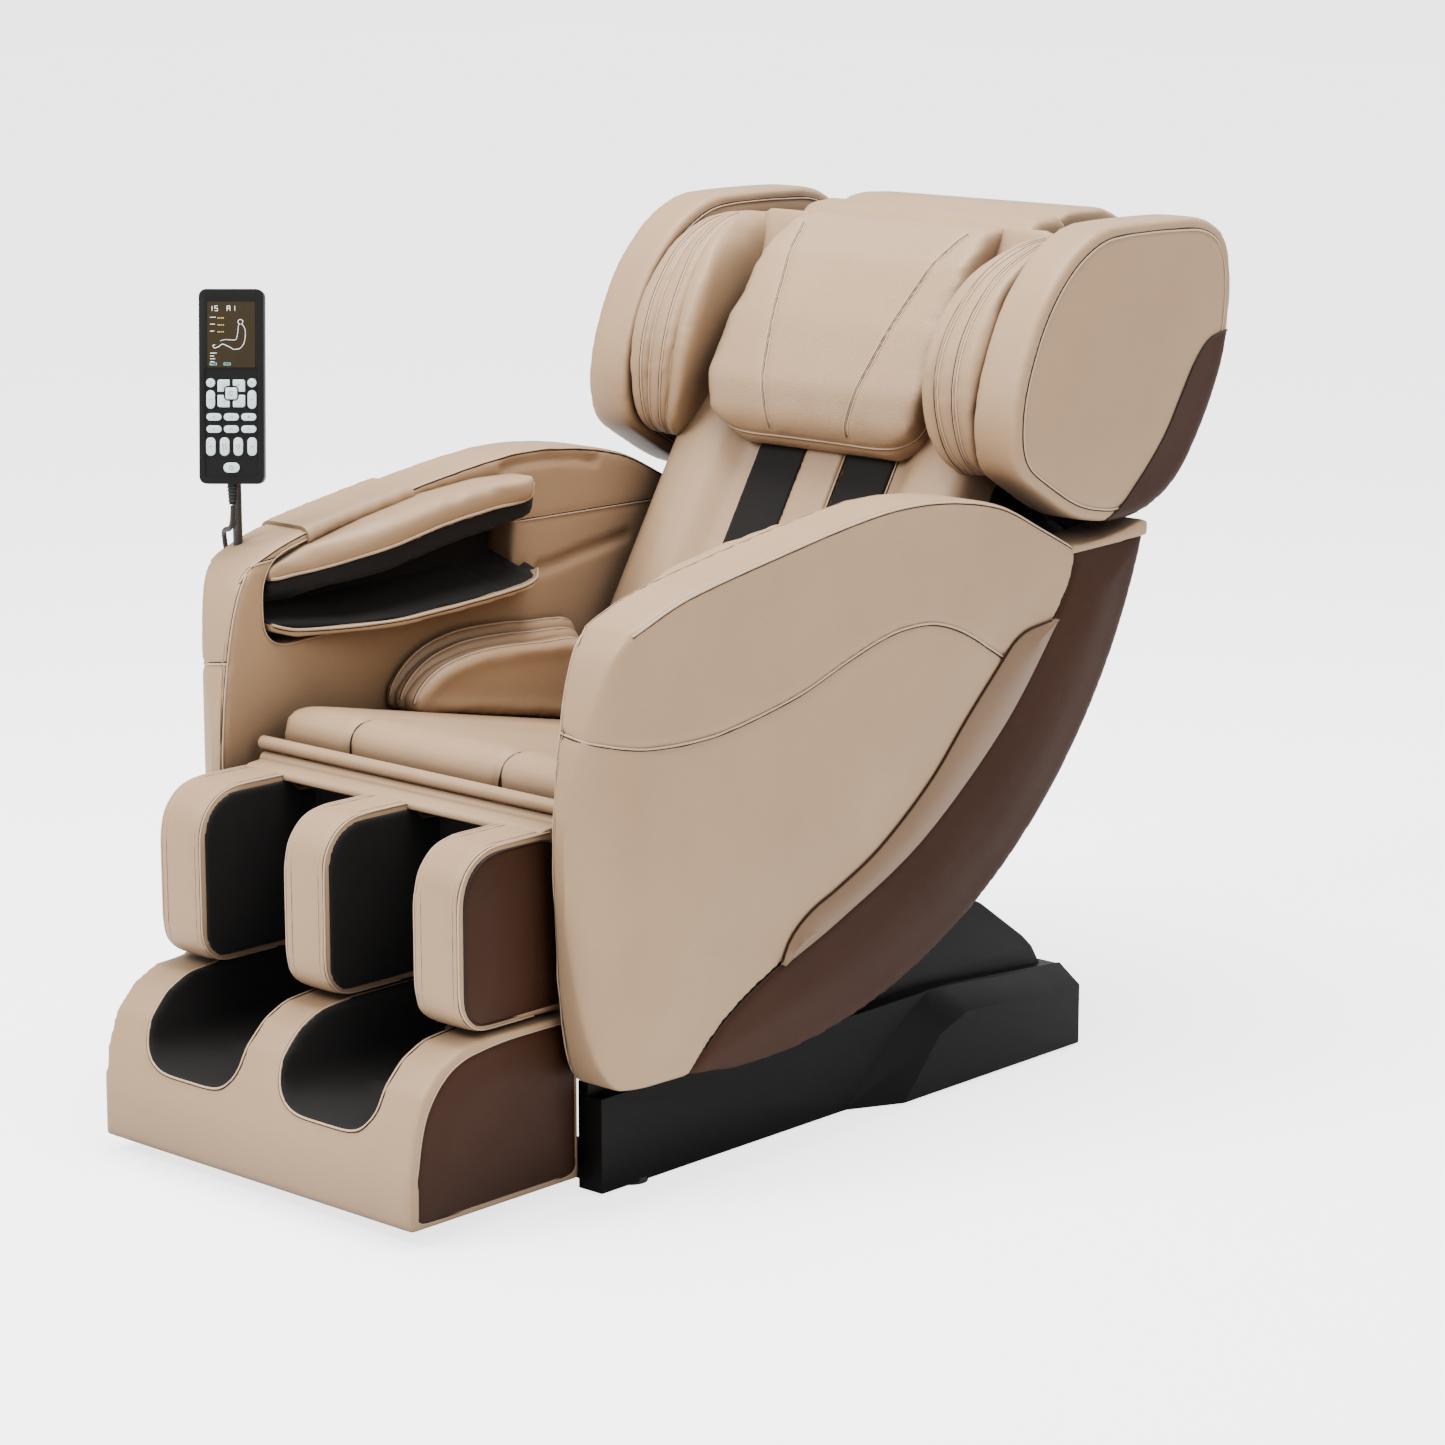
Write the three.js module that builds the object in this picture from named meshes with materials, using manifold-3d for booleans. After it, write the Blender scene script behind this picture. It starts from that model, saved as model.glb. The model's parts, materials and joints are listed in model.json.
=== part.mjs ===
// A full-body massage chair: a floor base, a seat body that tilts back on it, a leg rest that lifts and
// lengthens, a roller carriage in the back, and a wired remote on a stand.
// Millimetres. X is across the chair (+X is the sitter's left), the chair faces -Y, +Z is up, and the
// origin is on the floor under the middle of the chair.
import * as THREE from 'three';
import { ConvexGeometry } from 'three/addons/geometries/ConvexGeometry.js';
import { mergeVertices } from 'three/addons/utils/BufferGeometryUtils.js';
import Module from 'manifold-3d';

const wasm = await Module();
wasm.setup();

// ---- driving dimensions -------------------------------------------------------------------------
const GAP = 0.4;                          // between pieces that touch
const halfWidth = 381;                    // outer face of an arm
const halfLength = 711;                   // toes and the back of the head
const height = 1085;

const armInner = 284;                     // the sitter's side of an arm
const armPanel = 14;                      // thickness of an arm's inner panel
const armWall = 12;                       // wall of the padded outer shells
const arcCentre = [-228, 919];            // y, z of the arc that the rear shells and back cover follow
const arcRadius = 786;

const seatHalf = 255;
const seatFrontTop = [-390, 505];         // y, z on the seat cushion's top
const seatSlope = 0.2;                    // fall per millimetre towards the back
const seatThickness = 62;

const backFoot = [100, 420];              // y, z where the back's front surface starts
const backLean = THREE.MathUtils.degToRad(31.5);
const backLength = 735;
const backHalf = 258;
const cushionThickness = 40;
const stripMiddle = 76;                   // the two dark strips over the roller tracks
const stripHalf = 36;
const stripEnds = [60, 640];

const tiltPivot = [-50, 250];             // y, z of the seat body's pivot on the base
const tiltRange = 25;                     // degrees
const crankLength = 150;
const legPivot = [-448, 447];

const wingInner = 298;
const wingOuter = 374;
const calfHalf = 262;
const calfFront = -620;
const footHalf = 272;

const baseHalf = 300;
const finOuter = 278;
const finInner = 262;
const baseFront = -430;
const baseRear = 445;

const remoteSize = { width: 80, height: 240, depth: 22 };
const remoteFoot = [-328, -431, 782];     // the middle of its lower end
const remoteTurn = THREE.MathUtils.degToRad(42);
const remoteLean = THREE.MathUtils.degToRad(-10);
const cordRadius = 3.2;

// ---- solids -------------------------------------------------------------------------------------
function toSolid(geometry) {
  const bare = geometry.clone();
  bare.deleteAttribute('normal');
  bare.deleteAttribute('uv');
  const merged = mergeVertices(bare, 1e-3);
  return new wasm.Manifold(new wasm.Mesh({
    numProp: 3,
    vertProperties: merged.attributes.position.array,
    triVerts: new Uint32Array(merged.index.array),
  }));
}

function toGeometry(solid) {
  const mesh = solid.getMesh();
  const geometry = new THREE.BufferGeometry();
  geometry.setAttribute('position', new THREE.BufferAttribute(mesh.vertProperties, 3));
  geometry.setIndex(new THREE.BufferAttribute(mesh.triVerts, 1));
  return geometry;
}

const joined = (...solids) => solids.reduce((a, b) => a.add(b));

function shapeOf(outline) {
  return outline instanceof THREE.Shape ? outline : new THREE.Shape(outline.map(([a, b]) => new THREE.Vector2(a, b)));
}

// Extrudes an outline in two axes along the third, from low to high.
function prism(outline, low, high, across, up, along, segments = 8) {
  const geometry = new THREE.ExtrudeGeometry(shapeOf(outline), {
    depth: high - low, bevelEnabled: false, curveSegments: segments,
  });
  geometry.translate(0, 0, low);
  geometry.applyMatrix4(new THREE.Matrix4().makeBasis(across, up, along));
  return toSolid(geometry);
}
const X = new THREE.Vector3(1, 0, 0);
const Y = new THREE.Vector3(0, 1, 0);
const Z = new THREE.Vector3(0, 0, 1);
const alongX = (outline, x0, x1, segments) => prism(outline, x0, x1, Y, Z, X, segments);   // outline in y, z
const alongZ = (outline, z0, z1, segments) => prism(outline, z0, z1, X, Y, Z, segments);   // outline in x, y

// The back's own frame: x across, s up its front surface, t towards the rear.
const backUp = new THREE.Vector3(0, Math.sin(backLean), Math.cos(backLean));
const backOut = new THREE.Vector3(0, Math.cos(backLean), -Math.sin(backLean));
function onBack(s, t) {
  return [backFoot[0] + s * backUp.y + t * backOut.y, backFoot[1] + s * backUp.z + t * backOut.z];
}
// Extrudes an outline in x, t along s.
function alongBack(outline, s0, s1) {
  return prism(outline, s0, s1, X, backOut, backUp).translate([0, backFoot[0], backFoot[1]]);
}

function box(x0, x1, y0, y1, z0, z1) {
  const geometry = new THREE.BoxGeometry(x1 - x0, y1 - y0, z1 - z0);
  geometry.translate((x0 + x1) / 2, (y0 + y1) / 2, (z0 + z1) / 2);
  return toSolid(geometry);
}

function cylinderX(radius, x0, x1, y, z, sides = 16) {
  const geometry = new THREE.CylinderGeometry(radius, radius, x1 - x0, sides);
  geometry.rotateZ(Math.PI / 2);
  geometry.translate((x0 + x1) / 2, y, z);
  return toSolid(geometry);
}
function cylinderY(radius, x, y0, y1, z, sides = 16) {
  const geometry = new THREE.CylinderGeometry(radius, radius, y1 - y0, sides);
  geometry.translate(x, (y0 + y1) / 2, z);
  return toSolid(geometry);
}
function cylinderZ(radius, x, y, z0, z1, sides = 16) {
  const geometry = new THREE.CylinderGeometry(radius, radius, z1 - z0, sides);
  geometry.rotateX(Math.PI / 2);
  geometry.translate(x, y, (z0 + z1) / 2);
  return toSolid(geometry);
}

// Points of a smooth open curve through a few points, with steps points to each span.
function smooth(points, steps = 3) {
  const curve = new THREE.CatmullRomCurve3(points.map(([a, b]) => new THREE.Vector3(a, b, 0)), false, 'centripetal');
  return curve.getPoints(steps * (points.length - 1)).map((p) => [p.x, p.y]);
}

// Points of an arc about a centre, from one angle to another in degrees.
function arc([cx, cy], radius, from, to, steps) {
  return Array.from({ length: steps + 1 }, (_, i) => {
    const a = THREE.MathUtils.degToRad(from + (to - from) * i / steps);
    return [cx + radius * Math.cos(a), cy + radius * Math.sin(a)];
  });
}

// Moves each corner of a closed anticlockwise outline inwards.
function inset(outline, distance) {
  const count = outline.length;
  return outline.map(([x, y], i) => {
    const [px, py] = outline[(i + count - 1) % count];
    const [nx, ny] = outline[(i + 1) % count];
    const a = new THREE.Vector2(x - px, y - py).normalize();
    const b = new THREE.Vector2(nx - x, ny - y).normalize();
    const normal = new THREE.Vector2(-a.y - b.y, a.x + b.x).normalize();
    const reach = distance / Math.max(0.5, normal.dot(new THREE.Vector2(-a.y, a.x)));
    return [x + normal.x * reach, y + normal.y * reach];
  });
}

// ---- scene --------------------------------------------------------------------------------------
const chair = new THREE.Group();
const finish = (color, roughness, metalness = 0) => new THREE.MeshStandardMaterial({ color, roughness, metalness });
const finishes = {
  leather: finish(0xb89f86, 0.5),
  brown: finish(0x4d362c, 0.45),
  lining: finish(0x171514, 0.7),
  plastic: finish(0x1b1a1a, 0.55),
  steel: finish(0x2b2b2d, 0.5, 0.8),
  zinc: finish(0xa8aaad, 0.35, 1),
  rubber: finish(0x151515, 0.85),
  roller: finish(0x6f5340, 0.5),
  key: finish(0xe2ecec, 0.45),
};

function add(name, solid, material, parent = chair) {
  const mesh = new THREE.Mesh(toGeometry(solid), material);
  mesh.name = name;
  parent.add(mesh);
  return mesh;
}
// A piece drawn for the sitter's left, and its mirror for the right. change() alters the right one.
function addPair(name, solid, material, change = (other) => other) {
  add(name + '_left', solid, material);
  add(name + '_right', change(solid.mirror([1, 0, 0])), material);
}

// ---- base ---------------------------------------------------------------------------------------
function baseFrame() {
  const railInner = 215;
  const railOuter = 245;
  const railLow = 12;
  const railHigh = 42;
  const footRadius = 18;
  const parts = [];
  for (const side of [-1, 1]) {
    const span = (a, b) => (side > 0 ? [a, b] : [-b, -a]);
    parts.push(box(...span(railInner, railOuter), -405, 425, railLow, railHigh));
    const bracket = [[tiltPivot[0] - 70, railLow], [tiltPivot[0] + 70, railLow],
      [tiltPivot[0] + 22, tiltPivot[1] + 8], [tiltPivot[0], tiltPivot[1] + 24], [tiltPivot[0] - 22, tiltPivot[1] + 8]];
    parts.push(alongX(bracket, ...span(railOuter - 0.5, railOuter + 9))
      .subtract(cylinderX(11, ...span(railOuter - 5, railOuter + 15), ...tiltPivot)));
    for (const y of [-380, 340]) parts.push(cylinderZ(footRadius, side * 230, y, 0, railLow + 1));
    // Stub axle and its collar for a transport wheel.
    parts.push(cylinderX(5, ...span(168, railInner + 1), 395, 27, 12));
    parts.push(cylinderX(9, ...span(168, 172), 395, 27, 12));
  }
  for (const y of [-405, -130, 260]) parts.push(box(-railInner - 1, railInner + 1, y, y + 30, railLow, railHigh));
  // Lugs that hold the actuator's gearbox from below.
  parts.push(box(-30, 30, -404, -372, railHigh - 1, 96));
  return joined(...parts);
}

const finOutline = [[baseFront, 4], [baseRear, 4], [baseRear, 96], [427, 104], ...smooth([[427, 104], [409, 132], [389, 150],
  [344, 182], [300, 212]], 1).slice(1), [255, 232], [120, 215], [20, 205], [-120, 205], [-300, 150], [baseFront, 136]];
const skirtOutline = [[baseFront, 4], [baseRear, 4], [baseRear, 104], [200, 126], [-100, 118], [baseFront, 120]];

function baseCover() {
  const wall = 5;
  const flareOut = 336;
  const flare = (grow) => toSolid(new ConvexGeometry([
    ...[[3, 4], [122, 104], [163, 126], [204, 126], [baseRear, 106], [baseRear, 4]]
      .map(([y, z]) => new THREE.Vector3(baseHalf - 3, y, z)),
    ...[[80, 4], [150, 79], [205, 98], [baseRear - 6, 84], [baseRear - 6, 4]]
      .map(([y, z]) => new THREE.Vector3(flareOut, y, z)),
  ].map((p) => (grow ? p : new THREE.Vector3(p.x - wall, p.y + (p.y < 210 ? wall : -wall), p.z > 10 ? p.z - wall : 0)))));
  const outer = joined(alongX(skirtOutline, finInner, baseHalf), alongX(finOutline, finInner, finOuter), flare(true));
  const hollow = joined(
    alongX(inset(skirtOutline, wall).map(([y, z]) => [y, z < 20 ? 0 : z]), finInner - 1, baseHalf - wall),
    alongX(inset(finOutline, wall).map(([y, z]) => [y, z < 20 ? 0 : z]), finInner - 1, finOuter - wall),
    flare(false));
  return outer.subtract(hollow);
}

function baseRearCover() {
  const plate = box(-finInner + GAP, finInner - GAP, baseRear - 6, baseRear, 6, 96);
  const inletBox = box(50, 130, baseRear - 40, baseRear - 5, 20, 80);
  const inletMouth = box(58, 86, baseRear - 30, baseRear + 1, 34, 56);
  const switchMouth = box(98, 122, baseRear - 30, baseRear + 1, 32, 62);
  return plate.add(inletBox).subtract(inletMouth).subtract(switchMouth);
}

const switchPivot = [baseRear - 4, 47];
const switchRest = 8;                      // degrees that the rocker lies over when off
function powerSwitch() {
  const rocker = [[4, 13], [-8, 13], [-8, -13], [4, -13], [1.8, 0]];
  return alongX(rocker, 99, 121).rotate([switchRest, 0, 0]).translate([0, ...switchPivot]);
}

const wheelAt = [395, 27];
const transportWheel = () => cylinderX(25, 178, 200, ...wheelAt, 24).subtract(cylinderX(6, 170, 210, ...wheelAt, 12));

// ---- tilt actuator ------------------------------------------------------------------------------
const halfTilt = THREE.MathUtils.degToRad(tiltRange / 2);
const crankPin = [tiltPivot[0] + crankLength * Math.sin(halfTilt), tiltPivot[1] - crankLength * Math.cos(halfTilt)];
const rodZ = tiltPivot[1] - crankLength * (1 + Math.cos(halfTilt)) / 2;   // halfway along the pin's rise

function actuatorBody() {
  const gearbox = box(-26, 26, -370, -338, 97, 132).add(box(-26, 26, -370, -338, 46, 98));
  const tube = cylinderY(20, 0, -339, -150, rodZ);
  const motor = cylinderY(19, 0, -339, -250, 62);
  return joined(gearbox, tube, motor).subtract(cylinderY(11, 0, -345, -149, rodZ));
}

function actuatorRod() {
  const eyeHalf = 7;
  const rod = cylinderY(8.5, 0, -262, crankPin[0] - 14, rodZ);
  const eye = cylinderX(18, -eyeHalf, eyeHalf, crankPin[0], rodZ, 24);
  return rod.add(eye).subtract(cylinderX(11.5, -20, 20, crankPin[0], rodZ, 24));
}

// ---- seat body ----------------------------------------------------------------------------------
const seatTop = (y) => seatFrontTop[1] - seatSlope * (y - seatFrontTop[0]);
const seatUnder = (y) => seatTop(y) - seatThickness;

function bodyFrame() {
  const parts = [];
  const tube = 12;
  const railDepth = 34;
  const bar = (y, z, x = 246) => parts.push(cylinderX(tube, -x, x, y, z, 12));
  for (const side of [-1, 1]) {
    const span = (a, b) => (side > 0 ? [a, b] : [-b, -a]);
    const rail = [[-392, seatUnder(-392) - GAP - railDepth], [118, seatUnder(118) - GAP - railDepth],
      [118, seatUnder(118) - GAP], [-392, seatUnder(-392) - GAP]];
    parts.push(alongX(rail, ...span(216, 236)));
    const sidePlate = [[-120, 375], [-75, 232], [-50, 224], [-25, 232], [60, 330], [20, 345]];
    parts.push(alongX(sidePlate, ...span(232, 240)));
    parts.push(cylinderX(10, ...span(238, 256), ...tiltPivot, 16));
    // Lug for the leg rest's pivot: up from the front bar, then forward over the leg rest's back plate.
    const lug = [[-456, 447], [-452, 440], [-405, 439], [-397, 430], [-397, 398], [-373, 398], [-373, 440], [-393, 454], [-452, 454]];
    parts.push(alongX(lug, ...span(203, 211)).subtract(cylinderX(6.6, ...span(200, 220), ...legPivot, 12)));
    // Roller track up the back.
    const track = [onBack(-30, 104), onBack(-30, 128), onBack(690, 128), onBack(690, 104)];
    parts.push(alongX(track, ...span(150, 170)));
    // Arm brackets.
    for (const [y, z] of [[-250, seatUnder(-250) - 13], [60, seatUnder(60) - 13]]) {
      parts.push(box(...span(230, armInner - GAP), y - 12, y + 12, z - 10, z + 10));
    }
    // Bracket that carries a head wing.
    const wingArm = [onBack(520, 60), onBack(520, 120), onBack(620, 120), onBack(620, 60)];
    parts.push(alongX(wingArm, ...span(165, 174)));
    parts.push(alongX([onBack(560, 90), onBack(560, 114), onBack(584, 114), onBack(584, 90)], ...span(170, wingInner - GAP)));
    // Crank for the tilt actuator.
    const crank = [[tiltPivot[0] - 14, tiltPivot[1] + 12], [crankPin[0] - 13, crankPin[1] + 2], [crankPin[0] - 8, crankPin[1] - 12],
      [crankPin[0] + 8, crankPin[1] - 12], [crankPin[0] + 13, crankPin[1] + 2], [tiltPivot[0] + 14, tiltPivot[1] + 12]];
    parts.push(alongX(crank, ...span(9, 16)));
  }
  bar(-385, 402);
  bar(tiltPivot[0], tiltPivot[1], 236);
  bar(-50, 345, 236);
  bar(...onBack(-18, 116), 172);
  bar(105, seatUnder(105) - 14, 236);
  bar(...onBack(690, 116), 172);
  parts.push(cylinderX(8, -16, 16, ...crankPin, 16));
  // Ties between the seat rails and the roller track's foot.
  const tie = [[60, 330], [118, 318], onBack(-30, 128), onBack(10, 104), [116, 342], [90, 336]];
  for (const side of [-1, 1]) parts.push(alongX(tie, ...(side > 0 ? [160, 226] : [-226, -160])));
  return joined(...parts);
}

function seatCushion() {
  const outline = [[-432, seatUnder(-432) + 6], [-420, seatUnder(-420)], [108, seatUnder(108)], [108, seatTop(108) - 6],
    [60, seatTop(60)], [-392, seatTop(-392)], ...arc([-408, 483], 24, 75, 165, 4)];
  return alongX(outline, -seatHalf, seatHalf).subtract(joined(
    box(198, 216, -470, -366, 400, 458), box(-216, -198, -470, -366, 400, 458)));
}
const seatFrontRoll = () => cylinderX(9, -267, 267, -445, 466.5, 14);

// ---- arms ---------------------------------------------------------------------------------------
const armTop = smooth([[371, 683], [305, 715], [226, 752], [136, 771], [40, 777], [-55, 769], [-200, 746], [-355, 717], [-441, 687]], 2);
const armFront = smooth([[-441, 687], [-466, 647], [-486, 560], [-496, 440], [-490, 270], [-478, 185], [-461, 148]], 2);
const shellArc = arc(arcCentre, arcRadius, -92.6, -17.5, 14);
const seam = smooth([[-353, 145], [-311, 184], [-271, 211], [-195, 247], [-88, 286], [66, 357], [224, 476], [329, 594], [364, 645], [371, 683]], 2);
const armOutline = [...shellArc, ...armTop, ...armFront.slice(1)];
const padOutline = [...seam, ...armTop.slice(1), ...armFront.slice(1)];
const rearOutline = [...shellArc, ...seam.slice().reverse()];
const armPlan = [[270, 540], [270, -520], [302, -520], ...arc([301, -416], 80, -84, 0, 6), [halfWidth, 540]].reverse();
const forearmMouth = smooth([[-421, 600], [-400, 582], [-150, 588], [30, 600], [44, 625], [48, 720], [30, 752], [-120, 745], [-300, 715],
  [-400, 688], [-421, 660], [-421, 600]], 1).slice(0, -1);

function armInnerPanel() {
  return alongX(inset(armOutline, 4), armInner, armInner + armPanel).subtract(alongX(forearmMouth, armInner - 5, armInner + armPanel + 5));
}
function armOuterPanel() {
  const inner = armInner + armPanel + GAP;
  const plan = alongZ(armPlan, 100, 820);
  const hollowPlan = alongZ(inset(armPlan, armWall), 90, 830);
  const outer = alongX(padOutline, inner, halfWidth).intersect(plan);
  return outer.subtract(alongX(inset(padOutline, armWall), inner - 5, halfWidth - armWall).intersect(hollowPlan));
}
function armRearShell() {
  const inner = armInner + armPanel + GAP;
  const outline = inset(rearOutline, GAP);
  const outer = alongX(outline, inner, halfWidth - 15);
  return outer.subtract(alongX(inset(rearOutline, armWall), inner - 5, halfWidth - 15 - armWall));
}

const postBehind = 36;
const postAt = [remoteFoot[0] - postBehind * Math.sin(remoteTurn), remoteFoot[1] + postBehind * Math.cos(remoteTurn)];
const glandAt = [-222, 515];              // y, z of the boss that the remote's cord leaves
function rightArmDetails(panel) {
  const boss = box(-394, -halfWidth + 3, glandAt[0] - 8, glandAt[0] + 8, glandAt[1], glandAt[1] + 30);
  return panel.add(boss).subtract(cylinderZ(7, ...postAt, 640, 820));
}

function forearmAirbag() {
  const back = alongX(inset(forearmMouth, 2), 338, 350);
  const upperEdge = [[-417, 655], [-353, 664], [-258, 684], [-160, 702], [-60, 713], [17, 718], [40, 730]];
  const upperTop = [[22, 745], [-59, 746], [-159, 737], [-257, 719], [-352, 696], [-417, 674]];
  const lowerTop = [[44, 622], [-10, 615], [-162, 608], [-308, 602], [-416, 610]];
  const lowerEdge = [[-416, 600], [-379, 588], [-260, 588], [-112, 595], [-10, 604], [26, 610]];
  const reach = alongZ([[215, -230], [215, 60], [345, 60], [345, -430], [280, -430], [222, -230]].reverse(), 560, 790);
  const opening = alongX(inset(forearmMouth, 1.5), 200, 400).intersect(reach);
  return joined(
    alongX([...upperEdge, ...upperTop], 222, 340).intersect(opening),
    alongX([...lowerEdge, ...lowerTop], 222, 340).intersect(opening),
    back);
}

function hipAirbag() {
  const outline = [[-228, 486], ...smooth([[-224, 505], [-198, 530], [-163, 548], [-100, 561], [-37, 556], [40, 540], [78, 520]], 2).slice(1),
    [70, 478], [0, 462], [-200, 482]].reverse();
  return alongX(outline, 222, armInner - GAP);
}

// ---- back ---------------------------------------------------------------------------------------
function backCushion() {
  const bolster = 150;
  const proud = 28;
  const section = [[-backHalf, 30], [-backHalf, -proud + 10], [-backHalf + 14, -proud], [-bolster - 20, -proud + 4], [-bolster + 14, 0],
    [bolster - 14, 0], [bolster + 20, -proud + 4], [backHalf - 14, -proud], [backHalf, -proud + 10], [backHalf, 30],
    [backHalf - 12, cushionThickness], [-backHalf + 12, cushionThickness]];
  const slot = (x) => alongBack([[x - stripHalf, -20], [x + stripHalf, -20], [x + stripHalf, 60], [x - stripHalf, 60]], ...stripEnds);
  return alongBack(section, -6, backLength).subtract(slot(-stripMiddle)).subtract(slot(stripMiddle));
}
// The sheet that the rollers run behind, with a pad that fills each long slot in the cushion.
function trackCover() {
  const plate = alongBack([[-125, cushionThickness + GAP], [125, cushionThickness + GAP], [125, 46], [-125, 46]], 30, 700);
  const half = stripHalf - GAP;
  const pads = [-stripMiddle, stripMiddle].map((x) => alongBack(
    [[x - half, 3], [x + half, 3], [x + half, 41], [x - half, 41]], stripEnds[0] + GAP, stripEnds[1] - GAP));
  return joined(plate, ...pads);
}

const coverOuter = [...arc(arcCentre, arcRadius - 14, -66, -29, 6), [500, 610], [545, 672], [600, 757], [660, 862], [696, 935],
  [halfLength, 985], [708, 1030], [690, 1060], [655, 1076], [600, 1079], [540, 1072]];
function backCover() {
  const halfOver = 250;
  const halfTop = wingInner - 2 * GAP;
  const wall = 6;
  const outline = [...coverOuter, onBack(735, 44), onBack(0, 46 + 2 * GAP), [112, 330]];
  const openFront = [...inset(coverOuter, wall).slice(1, -1), onBack(722, 52), onBack(722, -80), onBack(-60, -80), [40, 240], [92, 225]];
  const upper = [[530, 690], [600, 757], [660, 862], ...coverOuter.slice(11, -1), [552, 1070], [549, 1020], [534, 972], [452, 880], [392, 800],
    [360, 748], [400, 704]];
  const bracketHole = alongX([onBack(557, 87), onBack(557, 117), onBack(587, 117), onBack(587, 87)].reverse(), -halfTop - 1, halfTop + 1);
  return alongX(outline, -halfOver, halfOver).add(alongX(upper, -halfTop, halfTop))
    .subtract(joined(alongX(openFront, -halfOver + wall, halfOver - wall), alongX(inset(upper, wall), -halfTop + wall, halfTop - wall),
      bracketHole));
}

const wingOutline = [...smooth([[290, 762], [363, 722], [419, 708], [470, 705], [533, 718], [590, 752], [637, 811], [674, 878], [690, 935],
  [694, 1000], [680, 1052], [640, 1078], [586, height], [440, height], [389, 1072], [345, 1046], [300, 1000], [268, 945], [246, 885],
  [241, 835], [252, 790], [290, 762]], 1).slice(0, -1)];
const headWing = () => alongX(wingOutline, wingInner, wingOuter);

function shoulderAirbag() {
  const leaf = smooth([[300, 770], [345, 800], [440, 880], [520, 975], [535, 1020], [505, 1056], [440, 1066], [390, 1056], [330, 1022], [285, 965],
    [262, 905], [262, 840], [278, 790], [300, 770]], 1).slice(0, -1);
  const cushionSpace = alongBack([[-300, -29], [-300, 300], [backHalf + 2, 300], [backHalf + 2, -29]], -50, 900);
  return alongX(leaf, 238, wingInner - GAP).subtract(cushionSpace);
}

const pillowHinge = onBack(748, -6);
function headPillow() {
  const profile = [...smooth([[404, -29], [418, -66], [470, -88], [560, -92], [660, -82], [725, -56], [754, -20], [758, -4]], 2),
    [746, -1], [404, -1]].map(([s, t]) => onBack(s, t));
  const half = smooth([[95, 404], [165, 430], [200, 490], [204, 560], [190, 660], [172, 758]], 2);
  const plan = [...half, ...half.slice().reverse().map(([x, s]) => [-x, s])];
  const outline = prism(plan, -20, 110, X, backUp, backOut.clone().negate()).translate([0, backFoot[0], backFoot[1]]);
  const raised = alongX(profile, -210, 210);
  const bolsters = alongBack([[-300, -28.6], [-300, 60], [-136, 60], [-136, -0.6], [-170, -24.6], [-244, -28.6]], 300, 790);
  return raised.intersect(outline).subtract(bolsters).subtract(bolsters.mirror([1, 0, 0]));
}

// ---- roller carriage ----------------------------------------------------------------------------
const carriageAt = 330;                    // s of its middle at rest
const rollerAxes = { upper: [carriageAt + 42, 76], lower: [carriageAt - 42, 76] };
function rollerCarriage() {
  const plate = alongX([onBack(carriageAt - 50, 108), onBack(carriageAt - 50, 124), onBack(carriageAt + 50, 124),
    onBack(carriageAt + 50, 108)], -120, 120);
  const guides = [-1, 1].map((side) => alongX([onBack(carriageAt - 30, 110), onBack(carriageAt - 30, 122), onBack(carriageAt + 30, 122),
    onBack(carriageAt + 30, 110)], ...(side > 0 ? [119, 149] : [-149, -119])));
  const arms = [];
  for (const x of [-48, 42]) {
    arms.push(alongX([onBack(carriageAt - 52, 68), onBack(carriageAt - 52, 84), onBack(carriageAt - 12, 112), onBack(carriageAt + 12, 112),
      onBack(carriageAt + 52, 84), onBack(carriageAt + 52, 68), onBack(carriageAt, 96)].reverse(), x, x + 6));
  }
  const motor = cylinderX(24, -38, 38, ...onBack(carriageAt, 146), 16);
  const holes = Object.values(rollerAxes).map((at) => cylinderX(6, -60, 60, ...onBack(...at), 12));
  return joined(plate, ...guides, ...arms, motor).subtract(joined(...holes));
}
function rollerPair(at) {
  const shaft = cylinderX(5, -104, 104, ...onBack(...at), 12);
  const wheels = [-1, 1].map((side) => cylinderX(28, ...(side > 0 ? [60, 104] : [-104, -60]), ...onBack(...at), 20));
  return joined(shaft, ...wheels);
}

// ---- leg rest -----------------------------------------------------------------------------------
const calfWalls = [[-calfHalf, -185], [-36, 36], [185, calfHalf]];
const calfTop = 445;
const calfBottom = 228;
const slideRods = { x: 130, y: -418, radius: 6 };
function calfRest() {
  const front = [...arc([calfFront + 40, calfBottom + 40], 40, 270, 180, 4), ...arc([calfFront + 60, calfTop - 60], 60, 180, 90, 5)];
  const wall = [[-407, calfBottom], [-407, 425], [-462, 425], [-464, calfTop], ...front.slice().reverse()];
  const walls = calfWalls.map(([x0, x1]) => alongX(wall, x0, x1));
  const back = box(-200, 200, -430, -407, calfBottom, 425);
  const ears = [];
  for (const side of [-1, 1]) {
    const ear = [[-456, 447], [-454, 424], [-410, 424], [-410, 430], [-438, 436], [-441, 451], [-448, 455], [-454, 453]];
    ears.push(alongX(ear, ...(side > 0 ? [193, 202.4] : [-202.4, -193])));
    ears.push(cylinderX(6, ...(side > 0 ? [202, 213] : [-213, -202]), ...legPivot, 12));
  }
  const rods = [-1, 1].map((side) => cylinderZ(slideRods.radius + 1, side * slideRods.x, slideRods.y, 200, 426.5, 12));
  return joined(...walls, back, ...ears).subtract(joined(...rods));
}

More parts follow.
